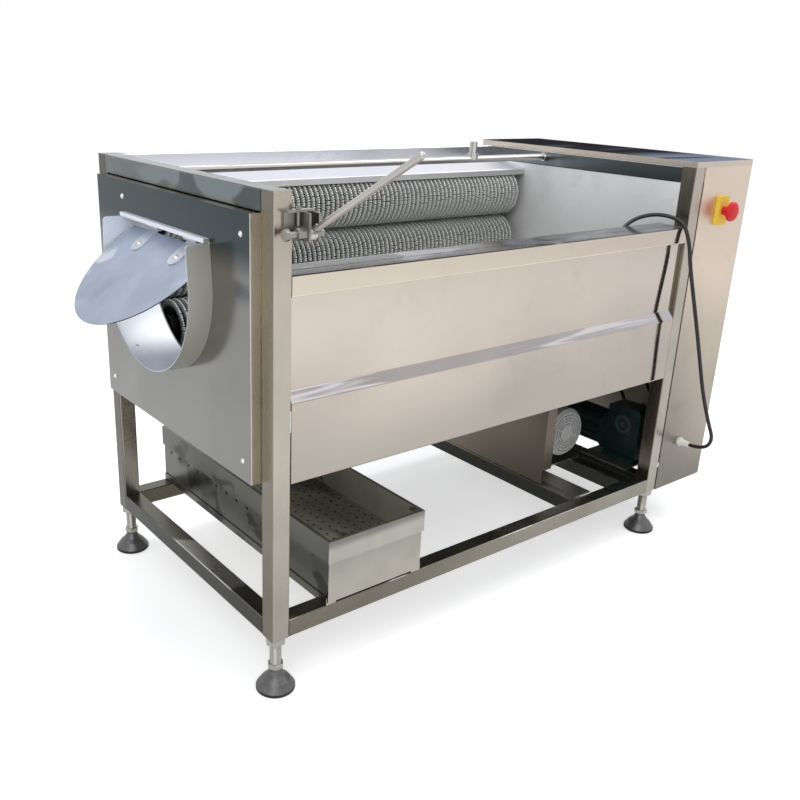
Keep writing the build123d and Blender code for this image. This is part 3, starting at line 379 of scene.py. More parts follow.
# %% [markdown]
# Each finish is a material with one Principled shader.  Its patterns read
# object coordinates: every piece sits at the origin with its place in its
# mesh, so these are metres in the machine's own frame, and a pattern runs on
# from one sheet to the next.

# %% Material helpers
def new_material(name):
    """A material with a Principled shader and object coordinates."""
    material = bpy.data.materials.new(name)
    material.use_nodes = True
    tree = material.node_tree
    shader = tree.nodes["Principled BSDF"]
    place = tree.nodes.new("ShaderNodeTexCoord")
    return material, tree, shader, place


def use_group(tree, group, vector, **values):
    """Places a shader group and sets its named inputs to sockets or values."""
    node = tree.nodes.new("ShaderNodeGroup")
    node.node_tree = group
    join(tree, vector, node.inputs["Vector"])
    for label, value in values.items():
        feed(tree, node.inputs[label.replace("_", " ")], value)
    return node


def bump_node(tree, height, strength, distance):
    """A Bump node."""
    node = tree.nodes.new("ShaderNodeBump")
    node.inputs["Strength"].default_value = strength
    node.inputs["Distance"].default_value = distance
    join(tree, height, node.inputs["Height"])
    return node


def dress(material, *names):
    """Gives CAD nodes a finish."""
    for name in names:
        mesh = nodes[name].data
        mesh.materials.clear()
        mesh.materials.append(material)
    print(material.name, "on", len(names))


# %% [markdown]
# Polished stainless sheet shows a different part of the hall on each face.
# A picture of a hall around the machine could do that, but it would tie the
# machine to one room.  So the reflections are painted into the colour: a face
# that looks up, forwards or to the left may take a painted reflection colour
# of its own, blended by the direction that the face looks in, and the drift
# within a look is painted light and shade.  A look is written as start colour,
# end colour, axis of the change, its middle and its width, and may go on with
# a painted streak colour, the streaks' stretch and their share.  A mirror seen
# almost flat shows the far end of the hall.  The share "flat" says how much of
# the real reflection there gives way to the sheet's painted colour.

# %% Stainless finish
SMUDGE_COLOUR = colour(110, 104, 96)


def even(*paint):
    """A look of one colour."""
    return paint, paint, "Z", 0.5, 0.5


def toned(tree, place, look, patch, patch_scale):
    """The painted light, shade and reflection of one look over the surface."""
    vector = place.outputs["Object"]
    start, end, axis, middle, blend = look[:5]
    parts = tree.nodes.new("ShaderNodeSeparateXYZ")
    join(tree, vector, parts.inputs[0])
    tone = use_group(tree, painted_tone_group, vector, Along=parts.outputs[axis], Start=colour(*start),
                     End=colour(*end), Middle=middle, Blend=blend, Patch_Scale=patch_scale, Patch=patch)
    paint = tone.outputs["Color"]
    if len(look) > 5:
        bands = use_group(tree, streak_group, vector, Stretch=look[6], Share=look[7])
        paint = mix_colours(tree, bands.outputs["Mask"], paint, colour(*look[5]))
    return paint


def ease_flat_mirror(tree, shader, metallic, flat):
    """Takes the mirror away where the sheet is seen almost flat, so that the painted reflection in the base
    colour shows there.
    """
    weight = tree.nodes.new("ShaderNodeLayerWeight")
    weight.inputs["Blend"].default_value = 0.5
    gone = math_node(tree, "MULTIPLY", ramp(tree, weight.outputs["Facing"], 0.7, 0.93), flat)
    keep = math_node(tree, "SUBTRACT", 1.0, gone)
    join(tree, math_node(tree, "MULTIPLY", keep, metallic), shader.inputs["Metallic"])
    join(tree, math_node(tree, "MULTIPLY", keep, 0.5), shader.inputs["Specular IOR Level"])


def stainless(name, face, top=None, side=None, front=None, rough=0.14, grain=(6, 900, 900), patch=0.1,
              patch_scale=2.4, smudge=0.5, bump=0.02, wave=0.0, metallic=1.0, flat=0.0):
    """Polished sheet: a painted reflection and shade tone for each facing, mill grain, waves and smudges."""
    material, tree, shader, place = new_material(name)
    vector = place.outputs["Object"]
    paint = toned(tree, place, face, patch, patch_scale)
    normal = tree.nodes.new("ShaderNodeSeparateXYZ")
    join(tree, place.outputs["Normal"], normal.inputs[0])
    for look, axis, sign, low in ((front, "Y", -1.0, 0.2), (side, "X", -1.0, 0.4), (top, "Z", 1.0, 0.15)):
        if look:
            towards = math_node(tree, "MULTIPLY", normal.outputs[axis], sign)
            own = toned(tree, place, look, patch, patch_scale)
            paint = mix_colours(tree, ramp(tree, towards, low, low + 0.4), paint, own)
    marks = use_group(tree, smudge_group, vector, Amount=smudge).outputs["Mask"]
    paint = mix_colours(tree, math_node(tree, "MULTIPLY", marks, 0.16), paint, SMUDGE_COLOUR)
    join(tree, paint, shader.inputs["Base Color"])
    shader.inputs["Metallic"].default_value = metallic
    if flat:
        ease_flat_mirror(tree, shader, metallic, flat)
    lines = use_group(tree, grain_group, vector, Stretch=grain, Base=rough, Spread=rough * 0.6)
    dull = math_node(tree, "MULTIPLY", marks, 0.14)
    join(tree, math_node(tree, "ADD", lines.outputs["Roughness"], dull), shader.inputs["Roughness"])
    sway = bump_node(tree, lines.outputs["Wave"], wave, 0.01)
    relief = bump_node(tree, lines.outputs["Height"], bump, 0.0002)
    join(tree, sway.outputs[0], relief.inputs["Normal"])
    join(tree, relief.outputs[0], shader.inputs["Normal"])
    return material


print("facings", ("front", "side", "top"))

# %% [markdown]
# The front panel is the brightest mirror of the machine, and its colour is a
# painted reflection: warm from the floor below and from the hall, darker low
# down, with painted bright bars along its folded ledge.  The back panel's rim
# faces the lamps, so its top is painted light, with darker painted streaks.
# The cover at the discharge end has a painted dark band where it would mirror
# the room's far wall, with a soft edge below it, and its forward faces are
# painted lighter.  Thin sheet is never quite flat, so all three have a slow
# wave that bends what they show.

# %% Front, back and end sheets
front_sheet = stainless(
    "front sheet", ((168, 161, 151), (211, 199, 187), "Z", 0.62, 0.3),
    top=((136, 138, 146), (184, 184, 198), "X", 0.7, 0.9, (230, 228, 238), (2.5, 12, 60), 0.4),
    rough=0.05, patch=0.05, wave=0.05)
back_sheet = stainless(
    "back sheet", ((176, 174, 172), (206, 204, 202), "Z", 0.62, 0.3),
    top=((216, 216, 228), (228, 228, 240), "X", 0.7, 0.9, (160, 162, 176), (2.5, 12, 60), 0.3),
    rough=0.12, patch=0.05, wave=0.05)
end_sheet = stainless(
    "end cover sheet", ((186, 176, 160), (180, 170, 156), "Z", 0.7, 0.3),
    side=((134, 133, 130), (64, 73, 76), "Z", 0.872, 0.07),
    front=((214, 206, 190), (250, 240, 224), "Z", 0.62, 0.5),
    rough=0.14, grain=(900, 6, 900), wave=0.05, patch=0.2, patch_scale=4.0)
dress(front_sheet, "front_panel")
dress(back_sheet, "back_panel")
dress(end_sheet, "left_end_cover")

# %% [markdown]
# The square tube is ground along its length.  Its colour is painted
# reflection and shade: darker low down, where it would mirror the shaded floor
# under the machine, darker again on faces that look to the left, and with
# painted tones of its own on faces that look up.  The top rail at the left is
# painted dark and the back top rails nearly white, painted shade and painted
# light, and the rails carry light painted streaks.  Its grain runs up the
# posts and along the rails.  The bottom rails run both ways, so their grain
# is fine only in height, and one finish serves the long and the cross rails.

# %% Frame tubes
post_finish = stainless(
    "post tube", ((158, 154, 144), (190, 180, 167), "Z", 0.5, 0.7),
    side=((126, 120, 109), (92, 88, 81), "Y", 0.35, 0.3), top=even(120, 120, 122),
    rough=0.2, grain=(900, 900, 6), patch=0.2, patch_scale=7.0)
rail_finish = stainless(
    "bottom rail tube", ((116, 112, 100), (144, 140, 130), "X", 0.6, 1.0),
    side=((66, 67, 63), (58, 59, 55), "Y", 0.35, 0.4),
    top=((104, 102, 94), (150, 148, 142), "X", 0.7, 0.8, (188, 186, 182), (5, 5, 5), 0.36),
    rough=0.22, grain=(60, 60, 900), patch=0.2, patch_scale=6.0)
top_rail_finish = stainless(
    "top rail tube", ((112, 118, 121), (244, 244, 252), "X", 0.03, 0.04),
    side=((86, 93, 94), (112, 118, 120), "Y", 0.35, 0.5, (128, 135, 137), (1, 5, 9), 0.36),
    top=((104, 108, 112), (244, 244, 252), "X", 0.03, 0.04),
    rough=0.16, grain=(60, 900, 900), patch=0.1)
dress(post_finish, "frame_posts")
dress(rail_finish, "bottom_long_rails", "bottom_cross_rails")
dress(top_rail_finish, "top_rails")

# %% [markdown]
# The rim rail and the trough's lip lie almost flat to the eye, and there a
# mirror shows the dark end of the hall, broken by window bars: their tops are
# painted with that dark reflection and its pale bars, and the real mirror
# gives way to it.  The guard lip's top is painted a little lighter, painted
# light from above.  The sheets inside the trough are duller, rubbed by wet
# potatoes and scrubbing, and painted darker low down, painted shade inside
# the trough; the partition is pale and dull, painted a little lighter upwards.

# %% Rim and trough
painted_window_bars = ((122, 122, 130), (5, 14, 1), 0.34)
rim_finish = stainless(
    "rim rail", ((218, 206, 189), (216, 201, 188), "X", 0.6, 0.8),
    top=((20, 20, 28), (104, 106, 114), "X", 0.9, 0.5, *painted_window_bars),
    rough=0.07, patch=0.06, wave=0.04, flat=0.8)
lip_finish = stainless(
    "trough lip", even(150, 150, 148), top=((20, 20, 28), (100, 102, 110), "X", 0.9, 0.5, *painted_window_bars),
    rough=0.07, patch=0.06, wave=0.04, flat=0.8)
guard_finish = stainless(
    "guard lip", ((206, 205, 208), (196, 196, 196), "X", 0.6, 0.8),
    top=((214, 214, 222), (222, 222, 230), "X", 0.6, 0.8), rough=0.3, metallic=0.7)
inner_finish = stainless(
    "trough sheet", ((120, 120, 117), (190, 190, 190), "Z", 0.8, 0.4), rough=0.25)
partition_finish = stainless(
    "partition sheet", ((226, 226, 226), (240, 240, 241), "Z", 0.86, 0.2),
    rough=0.55, patch=0.12, patch_scale=7.0, metallic=0.25, smudge=0.9)
dress(rim_finish, "front_rim_rail")
dress(lip_finish, "trough_lip")
dress(guard_finish, "guard_lip")
dress(inner_finish, "trough_shell", "left_end_plate")
dress(partition_finish, "partition_plate")

# %% [markdown]
# The cabinet's sheet has an upright grain and is painted lighter upwards,
# with painted shade low down.  Its lid carries a painted reflection of the
# dark ceiling at the back and of grey light in front, with painted streaks,
# and the real mirror gives way to it where the lid is seen flat.  The splash
# plate stands in the shade beside the pump, and that shade is painted into
# its dark colour, lighter towards the back.

# %% Cabinet, lid and splash plate
cabinet_finish = stainless(
    "cabinet sheet", ((122, 119, 111), (220, 205, 189), "Z", 0.46, 0.6),
    rough=0.32, grain=(900, 900, 6), patch=0.08)
lid_finish = stainless(
    "cabinet lid", even(206, 196, 184),
    top=((116, 122, 137), (36, 37, 40), "Y", 0.15, 0.2, (64, 66, 72), (1.5, 9, 1), 0.24),
    rough=0.2, flat=1.0)
splash_finish = stainless(
    "splash plate", ((44, 39, 34), (128, 119, 108), "Y", 0.2, 0.5), rough=0.25)
dress(cabinet_finish, "cabinet_front_cover", "cabinet_rear_wrap")
dress(lid_finish, "cabinet_lid")
dress(splash_finish, "zone_plate")

# %% [markdown]
# The duct's sheet is bright and bluish, lighter upwards, and its forward
# faces turn from warm grey to bluish white towards the back.  The flap over
# its mouth is scuffed by hands; its faces that look forwards are painted near
# black, a painted shadow line along its front edge, and its light streaks are
# painted reflections.  The hinge straps are small pieces of flat bar.

# %% Duct, flap and straps
duct_finish = stainless(
    "duct sheet", ((196, 201, 213), (244, 248, 255), "Z", 0.8, 0.2),
    front=((190, 187, 178), (246, 249, 255), "Y", 0.352, 0.1),
    rough=0.34, grain=(6, 300, 300), patch=0.08, metallic=0.6)
flap_finish = stainless(
    "flap sheet",
    ((164, 174, 190), (176, 186, 202), "Z", 0.82, 0.1, (204, 211, 224), (8, 5, 8), 0.2),
    front=even(30, 30, 34), rough=0.4, smudge=0.9, patch=0.2, patch_scale=14.0, metallic=0.8)
strap_finish = stainless(
    "strap steel", even(206, 208, 216), rough=0.3, grain=(300, 300, 300), patch=0.25, patch_scale=30.0)
dress(duct_finish, "discharge_duct")
dress(flap_finish, "flap")
dress(strap_finish, "flap_straps", "flap_hinge_brackets")

# %% [markdown]
# The water box and its tray stand in the shade under the trough, and that
# shade is painted into them; both carry many handling marks too.  The tray's
# floor is painted pale near its left end, and dark further in, where the
# trough's shade falls, with dark streaks, and the walls of its holes and its
# underside are painted dark.  The tray's faces that look to the left are
# painted light further right, where light falls on its inner right wall, and
# its other faces are lighter below a height of 0.3 m.  The box's left side is
# painted darker than its front, and dark streaky bands cross the left sides
# of both.

# %% Water box and tray
tray_floor_finish = stainless(
    "tray floor", even(60, 57, 50),
    top=((206, 202, 184), (116, 111, 98), "X", 0.22, 0.12, (44, 42, 36), (7, 4, 1), 0.4),
    rough=0.4, patch=0.2, patch_scale=10.0, smudge=0.9, metallic=0.25)
tray_finish = stainless(
    "tray sheet", ((176, 172, 164), (128, 126, 120), "Z", 0.3, 0.02),
    side=((108, 108, 102), (214, 214, 200), "X", 0.24, 0.1, (70, 70, 66), (12, 12, 12), 0.26),
    top=((130, 129, 122), (120, 118, 112), "Z", 0.3, 0.1),
    rough=0.3, patch=0.16, patch_scale=12.0, smudge=0.9, metallic=0.8)
box_finish = stainless(
    "water box sheet", ((172, 168, 159), (158, 155, 147), "Z", 0.22, 0.1),
    side=((104, 104, 98), (106, 106, 100), "Z", 0.24, 0.1, (64, 64, 59), (9, 9, 14), 0.32),
    rough=0.24, patch=0.16, patch_scale=12.0, smudge=0.8)
dress(tray_finish, "perforated_tray")
dress(box_finish, "water_box", "box_runners")

# %% [markdown]
# Round and small parts mirror so much of the hall at once that one even tone
# and a fine grain are enough for them.

# %% Pipe, bar, fittings and screws
pipe_finish = stainless("spray pipe", even(206, 203, 200), rough=0.16)
bar_finish = stainless("bright bar", even(190, 186, 182), rough=0.24, grain=(300, 300, 300))
fitting_finish = stainless("steel fittings", ((170, 168, 162), (150, 148, 142), "Z", 0.5, 0.5),
                           rough=0.28, grain=(300, 300, 300), patch=0.2)
screw_finish = stainless("bright screw", even(222, 224, 226), rough=0.2, grain=(300, 300, 300))
dress(pipe_finish, "spray_pipe")
dress(bar_finish, "lever")
dress(fitting_finish, "lever_bracket", "lever_fasteners", "foot_stems", "left_cover_screws",
      "drive_base_plates")

# %% [markdown]
# Paint, plastic and rubber are simpler: one colour with a faint mottle, a
# roughness that varies a little, and a fine bump for the moulded or cast
# skin.

# %% Paint, plastic and rubber
def moulded(name, base, mottle, rough, scale=60.0, bump=0.15, metallic=0.0):
    """Paint, plastic, rubber or cast skin."""
    material, tree, shader, place = new_material(name)
    speckle = noise(tree, place.outputs["Object"], scale, 4.0)
    paint = mix_colours(tree, speckle, colour(*base), colour(*mottle))
    join(tree, paint, shader.inputs["Base Color"])
    varied = math_node(tree, "ADD", math_node(tree, "MULTIPLY", speckle, 0.2), rough)
    join(tree, varied, shader.inputs["Roughness"])
    join(tree, bump_node(tree, speckle, bump, 0.0006).outputs[0], shader.inputs["Normal"])
    shader.inputs["Metallic"].default_value = metallic
    return material


lead_finish = moulded("lead rubber", (14, 14, 15), (30, 30, 31), 0.3, 300.0)
gland_finish = moulded("gland plastic", (226, 225, 222), (240, 239, 236), 0.35)
red_finish = moulded("stop button red", (206, 4, 14), (216, 12, 24), 0.35, 40.0, 0.05)
yellow_finish = moulded("stop box yellow", (236, 196, 56), (246, 214, 84), 0.4, 80.0, 0.08)
lead.data.materials.append(lead_finish)
dress(lead_finish, "power_plug")
dress(gland_finish, "cord_gland")
dress(red_finish, "estop_stem", "estop_head")
dress(yellow_finish, "estop_box")

# %% [markdown]
# The drive and the pump stand in the shade: cast iron, oiled chain, green
# and black machine paint, and turned steel.

# %% Drive and pump
core_finish = moulded("roller core", (10, 10, 10), (20, 20, 19), 0.6, 120.0)
iron_finish = moulded("cast bearing", (58, 60, 60), (80, 82, 80), 0.45, 150.0, 0.4)
chain_finish = moulded("oiled chain", (40, 38, 35), (66, 62, 56), 0.25, 200.0, 0.3, 1.0)
green_finish = moulded("gearbox paint", (8, 32, 29), (14, 44, 40), 0.3, 90.0, 0.3)
black_finish = moulded("motor paint", (20, 21, 22), (36, 37, 38), 0.35, 110.0, 0.3)
cover_finish = moulded("fan cover paint", (176, 176, 174), (214, 214, 211), 0.35, 90.0, 0.1)
boss_finish = moulded("turned boss", (62, 64, 64), (96, 98, 98), 0.25, 200.0, 0.1, 0.6)
shaft_finish = moulded("shaft steel", (150, 148, 144), (176, 174, 170), 0.2, 90.0, 0.1, 1.0)
dress(iron_finish, "roller_bearings")
dress(chain_finish, "drive_chains")
dress(green_finish, "gearbox", "gear_motor")
dress(black_finish, "pump_motor", "pump_volute")
dress(cover_finish, "pump_fan_cover")
dress(shaft_finish, "drive_sprocket", *[f"roller_{number}_core" for number in range(1, 8)])

# %% [markdown]
# The levelling foot has a rubber ring below and a cast cone above.  Its
# height tells the two apart, so one material serves the whole pad.

# %% Foot finish
ring_top, cone_start = 0.0078, 0.0086
foot_finish, tree, shader, place = new_material("levelling foot")
parts = tree.nodes.new("ShaderNodeSeparateXYZ")
join(tree, place.outputs["Object"], parts.inputs[0])
metal_part = ramp(tree, parts.outputs["Z"], ring_top, cone_start)
cast = noise(tree, place.outputs["Object"], 130.0, 4.0)
cone_colour = mix_colours(tree, cast, colour(76, 76, 78), colour(120, 119, 119))
foot_colour = mix_colours(tree, metal_part, colour(20, 20, 20), cone_colour)
shine = math_node(tree, "MULTIPLY", metal_part, 0.25)
join(tree, foot_colour, shader.inputs["Base Color"])
join(tree, math_node(tree, "MULTIPLY", metal_part, 0.6), shader.inputs["Metallic"])
join(tree, math_node(tree, "SUBTRACT", 0.62, shine), shader.inputs["Roughness"])
dress(foot_finish, "foot_pads")

# %% [markdown]
# The floor is pale paint.  Seen by the camera or in a mirror it gains a soft
# glow of its own, so that it joins the white backdrop without a line while
# the shadows on it stay.

# %% Floor finish
glow_seen, glow_mirrored = 0.5, 0.25
floor_finish, tree, shader, place = new_material("studio floor")
shader.inputs["Base Color"].default_value = (0.9, 0.9, 0.9, 1)
shader.inputs["Roughness"].default_value = 0.95
shader.inputs["Specular IOR Level"].default_value = 0.0
shader.inputs["Emission Color"].default_value = (1, 1, 1, 1)
path = tree.nodes.new("ShaderNodeLightPath")
mirrored = math_node(tree, "MAXIMUM", path.outputs["Is Glossy Ray"], path.outputs["Is Transmission Ray"])
direct = math_node(tree, "MULTIPLY", path.outputs["Is Camera Ray"], glow_seen)
glow = math_node(tree, "MAXIMUM", direct, math_node(tree, "MULTIPLY", mirrored, glow_mirrored))
join(tree, glow, shader.inputs["Emission Strength"])
floor.data.materials.append(floor_finish)
print("materials", len(bpy.data.materials))

# %% [markdown]
# A tuft of nylon is pale at its tip and lost in the dark between its
# neighbours at its root.  That dark is painted shade: a named attribute,
# "reach", keeps how far along the tuft a point lies, from 0 at the root to 1
# at the tip, and the finish paints a low reach near black.  Fine noise stands
# for the single strands, which as geometry would need many times the
# triangles.

# %% Bristle finish
root_shade_start, root_shade_end = 0.44, 0.82
bristle_finish, tree, shader, place = new_material("nylon bristle")
reach_attribute = tree.nodes.new("ShaderNodeAttribute")
reach_attribute.attribute_name = "reach"
strands = noise(tree, place.outputs["Object"], 900.0, 2.0)
wash = noise(tree, place.outputs["Object"], 14.0, 3.0)
worn = mix_colours(tree, wash, colour(236, 238, 234), colour(252, 252, 249))
striped = mix_colours(tree, strands, worn, colour(206, 207, 203))
painted_root_shade = ramp(tree, reach_attribute.outputs["Fac"], root_shade_start, root_shade_end)
varied = math_node(tree, "ADD", math_node(tree, "MULTIPLY", strands, 0.25), 0.4)
join(tree, mix_colours(tree, painted_root_shade, colour(18, 19, 18), striped), shader.inputs["Base Color"])
join(tree, varied, shader.inputs["Roughness"])
join(tree, bump_node(tree, strands, 0.3, 0.0008).outputs[0], shader.inputs["Normal"])
print("finish", bristle_finish.name)

# %% [markdown]
# Geometry Nodes place what repeats by a rule.  A tree gets named inputs, is
# run once on an empty mesh, and its result is kept as a plain mesh, because
# only plain meshes leave Blender whole.  A modifier's input is set by the
# socket's identifier, not by its name.

# %% Geometry tree helpers
def geometry_tree(name, inputs):
    """An empty Geometry Nodes tree that makes its own mesh."""
    tree = bpy.data.node_groups.new(name, "GeometryNodeTree")
    tree.interface.new_socket("Geometry", in_out="OUTPUT", socket_type="NodeSocketGeometry")
    tree.interface.new_socket("Geometry", in_out="INPUT", socket_type="NodeSocketGeometry")
    for label, kind, value in inputs:
        socket = tree.interface.new_socket(label, in_out="INPUT", socket_type=kind)
        if value is not None:
            socket.default_value = value
    return tree, tree.nodes.new("NodeGroupInput"), tree.nodes.new("NodeGroupOutput")


def finish_tree(tree, geometry, entry, leave):
    """Realizes the instances, sets the material and ends the tree."""
    real = tree.nodes.new("GeometryNodeRealizeInstances")
    paint = tree.nodes.new("GeometryNodeSetMaterial")
    join(tree, geometry, real.inputs[0])
    join(tree, real.outputs[0], paint.inputs["Geometry"])
    join(tree, entry.outputs["Material"], paint.inputs["Material"])
    join(tree, paint.outputs[0], leave.inputs[0])


def grow(name, tree, **values):
    """Runs a Geometry Nodes tree and keeps the result as a plain mesh."""
    seed = new_mesh(name + "_seed", [(0, 0, 0)], [])
    modifier = seed.modifiers.new("nodes", "NODES")
    modifier.node_group = tree
    for item in tree.interface.items_tree:
        label = item.name.replace(" ", "_")
        if item.in_out == "INPUT" and label in values:
            modifier[item.identifier] = values[label]
    bpy.context.view_layer.update()
    graph = bpy.context.evaluated_depsgraph_get()
    mesh = bpy.data.meshes.new_from_object(seed.evaluated_get(graph))
    bpy.data.objects.remove(seed)
    mesh.name = name
    piece = bpy.data.objects.new(name, mesh)
    bpy.context.scene.collection.objects.link(piece)
    return piece


def combine(tree, **parts):
    """A vector from outputs of other nodes, given as X=, Y= or Z=."""
    node = tree.nodes.new("ShaderNodeCombineXYZ")
    for axis, value in parts.items():
        join(tree, value, node.inputs[axis])
    return node.outputs[0]


print("helpers", [helper.__name__ for helper in (geometry_tree, finish_tree, grow, combine)])

# %% [markdown]
# A brush roller is a plastic core drilled with rings of holes, and in each
# hole sits a tuft.  Particle hair could grow on it, but it scatters, and the
# rings are what the eye sees.  So the first half of the tree finds the places
# by rule: a point's number gives the ring along the roller and the hole
# around it, and a small random turn keeps the holes from looking stamped.

# %% Places of the tufts
tufts, entry, leave = geometry_tree("Bristle tufts", [
    ("Start", NUMBER, 0.06), ("Rings", "NodeSocketInt", 76), ("Ring Pitch", NUMBER, 0.0146),
    ("Tufts Around", "NodeSocketInt", 66), ("Tip Radius", NUMBER, 0.065), ("Tuft Length", NUMBER, 0.033),
    ("Tuft Root", NUMBER, 0.0020), ("Tuft Tip", NUMBER, 0.0028), ("Tuft Crown", NUMBER, 0.0012),
    ("Axis Y", NUMBER, 0.0), ("Axis Z", NUMBER, 0.0), ("Jitter", NUMBER, 0.014),
    ("Seed", "NodeSocketInt", 1), ("Material", "NodeSocketMaterial", None)])
size = entry.outputs
number = tufts.nodes.new("GeometryNodeInputIndex").outputs[0]
points = tufts.nodes.new("GeometryNodePoints")
join(tufts, math_node(tufts, "MULTIPLY", size["Rings"], size["Tufts Around"]), points.inputs["Count"])
ring = math_node(tufts, "FLOOR", math_node(tufts, "DIVIDE", number, size["Tufts Around"]))
hole = math_node(tufts, "MODULO", number, size["Tufts Around"])
step = math_node(tufts, "DIVIDE", 2 * math.pi, size["Tufts Around"])
jitter = tufts.nodes.new("FunctionNodeRandomValue")
jitter.data_type = "FLOAT"
jitter.inputs[2].default_value = -1.0
jitter.inputs[3].default_value = 1.0
join(tufts, size["Seed"], jitter.inputs["Seed"])
swing = math_node(tufts, "MULTIPLY", jitter.outputs[1], size["Jitter"])
angle = math_node(tufts, "ADD", math_node(tufts, "MULTIPLY", hole, step), swing)
radial = combine(tufts, Y=math_node(tufts, "COSINE", angle), Z=math_node(tufts, "SINE", angle))
travel = math_node(tufts, "MULTIPLY", ring, size["Ring Pitch"])
base = combine(tufts, X=math_node(tufts, "ADD", travel, size["Start"]), Y=size["Axis Y"], Z=size["Axis Z"])
root_radius = math_node(tufts, "SUBTRACT", size["Tip Radius"], size["Tuft Length"])
outward = vector_node(tufts, "SCALE", radial, root_radius)
join(tufts, vector_node(tufts, "ADD", outward, base), points.inputs["Position"])
print("place nodes", len(tufts.nodes))

# %% [markdown]
# The second half makes one tuft, a five-sided cone that spreads a little
# towards a low crown, marks its reach, and stands it on every point, square
# to the core.  A roller has 5016 tufts, so one tuft has only 15 triangles.

# %% One tuft, and the tuft on every point
def cone_node(tree, bottom, top, depth, vertical=None):
    """A five-sided Mesh Cone without end caps, moved up by a distance."""
    cone = tree.nodes.new("GeometryNodeMeshCone")
    cone.fill_type = "NONE"
    cone.inputs["Vertices"].default_value = 5
    for label, value in (("Radius Bottom", bottom), ("Radius Top", top), ("Depth", depth)):
        feed(tree, cone.inputs[label], value)
    if vertical is None:
        return cone.outputs["Mesh"]
    moved = tree.nodes.new("GeometryNodeTransform")
    join(tree, cone.outputs["Mesh"], moved.inputs["Geometry"])
    join(tree, combine(tree, Z=vertical), moved.inputs["Translation"])
    return moved.outputs[0]


stem_length = math_node(tufts, "SUBTRACT", size["Tuft Length"], size["Tuft Crown"])
stem = cone_node(tufts, size["Tuft Root"], size["Tuft Tip"], stem_length)
crown = cone_node(tufts, size["Tuft Tip"], 0.0, size["Tuft Crown"], stem_length)
tuft = tufts.nodes.new("GeometryNodeJoinGeometry")
join(tufts, crown, tuft.inputs[0])
join(tufts, stem, tuft.inputs[0])
spot = tufts.nodes.new("ShaderNodeSeparateXYZ")
join(tufts, tufts.nodes.new("GeometryNodeInputPosition").outputs[0], spot.inputs[0])
marked = tufts.nodes.new("GeometryNodeStoreNamedAttribute")
marked.data_type = "FLOAT"
marked.domain = "POINT"
marked.inputs["Name"].default_value = "reach"
join(tufts, tuft.outputs[0], marked.inputs["Geometry"])
join(tufts, math_node(tufts, "DIVIDE", spot.outputs["Z"], size["Tuft Length"]), marked.inputs["Value"])
aim = tufts.nodes.new("FunctionNodeAlignRotationToVector")
aim.axis = "Z"
join(tufts, radial, aim.inputs["Vector"])
placed = tufts.nodes.new("GeometryNodeInstanceOnPoints")
join(tufts, points.outputs[0], placed.inputs["Points"])
join(tufts, marked.outputs[0], placed.inputs["Instance"])
join(tufts, aim.outputs[0], placed.inputs["Rotation"])
finish_tree(tufts, placed.outputs[0], entry, leave)
print("all nodes", len(tufts.nodes))

# %% [markdown]
# Cores, nuts, screw heads and caps are turned: an outline of places along
# the axis and radii is swept round.  A Screw modifier could sweep it, but
# plain lists also close both ends.  Pieces on one body are joined into one
# object, which keeps each part's own finish.

# %% Turned shapes and joined pieces
def lathe(name, profile, centre, axis="X", count=32):
    """Turns an outline of (place along the axis, radius) pairs into a closed mesh."""
    vertices, faces = [], []
    for along, radius in profile:
        for step in range(count):
            turn = 2 * math.pi * step / count
            across, up = radius * math.cos(turn), radius * math.sin(turn)
            offset = {"X": (along, across, up), "Z": (across, up, along)}[axis]
            vertices.append(tuple(c + o for c, o in zip(centre, offset)))
    for low in range(0, (len(profile) - 1) * count, count):
        high = low + count
        for step in range(count):
            after = (step + 1) % count
            faces.append((high + step, high + after, low + after, low + step))
    faces.append(tuple(range(count)))
    faces.append(tuple(reversed(range((len(profile) - 1) * count, len(profile) * count))))
    return new_mesh(name, vertices, faces)


def merge(name, *pieces):
    """Joins pieces into one object and keeps their materials and attributes."""
    joined = bmesh.new()
    slots = []
    for piece in pieces:
        start = len(joined.faces)
        joined.from_mesh(piece.data)
        joined.faces.ensure_lookup_table()
        own = [slot.material for slot in piece.material_slots]
        for face in joined.faces[start:]:
            finish = own[face.material_index]
            if finish not in slots:
                slots.append(finish)
            face.material_index = slots.index(finish)
    mesh = bpy.data.meshes.new(name)
    joined.to_mesh(mesh)
    joined.free()
    for finish in slots:
        mesh.materials.append(finish)
    for piece in pieces:
        bpy.data.objects.remove(piece)
    whole = bpy.data.objects.new(name, mesh)
    bpy.context.scene.collection.objects.link(whole)
    return whole


print("helpers", [helper.__name__ for helper in (lathe, merge)])

# %% [markdown]
# Every roller is grown with its own seed, in the box of its solid sleeve, so
# no two look alike and all of them fit.  The core is a black rod with a collar
# at each end.  A disc closes each end, and the solid steel shaft comes out of it.

# %% Brush rollers
rings = 76
collar_length, collar_radius = 0.008, 0.03
disc_radius, core_radius = 0.0135, 0.0335
tuft_gap = 0.0045
for roller in range(1, 8):
    node = f"roller_{roller}_brush"
    low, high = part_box(node)
    axis_y, axis_z = (low.y + high.y) / 2, (low.z + high.z) / 2
    start, end = low.x + collar_length, high.x - collar_length
    pitch_x = (end - start - 2 * tuft_gap) / (rings - 1)
    brush = grow(f"tufts_{roller}", tufts, Start=start + tuft_gap, Rings=rings, Ring_Pitch=pitch_x,
                 Axis_Y=axis_y, Axis_Z=axis_z, Seed=roller, Material=bristle_finish)
    outline = [(low.x, disc_radius), (low.x, collar_radius), (start, collar_radius), (start, core_radius),
               (end, core_radius), (end, collar_radius), (high.x, collar_radius), (high.x, disc_radius)]
    core = lathe(f"core_{roller}", outline, (0, axis_y, axis_z))
    core.data.materials.append(core_finish)
    whole = merge(f"brush_roller_{roller}", brush, core)
    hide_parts(node)
    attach(whole, f"roller_{roller}")
print("triangles on each roller", sum(len(face.vertices) - 2 for face in whole.data.polygons))

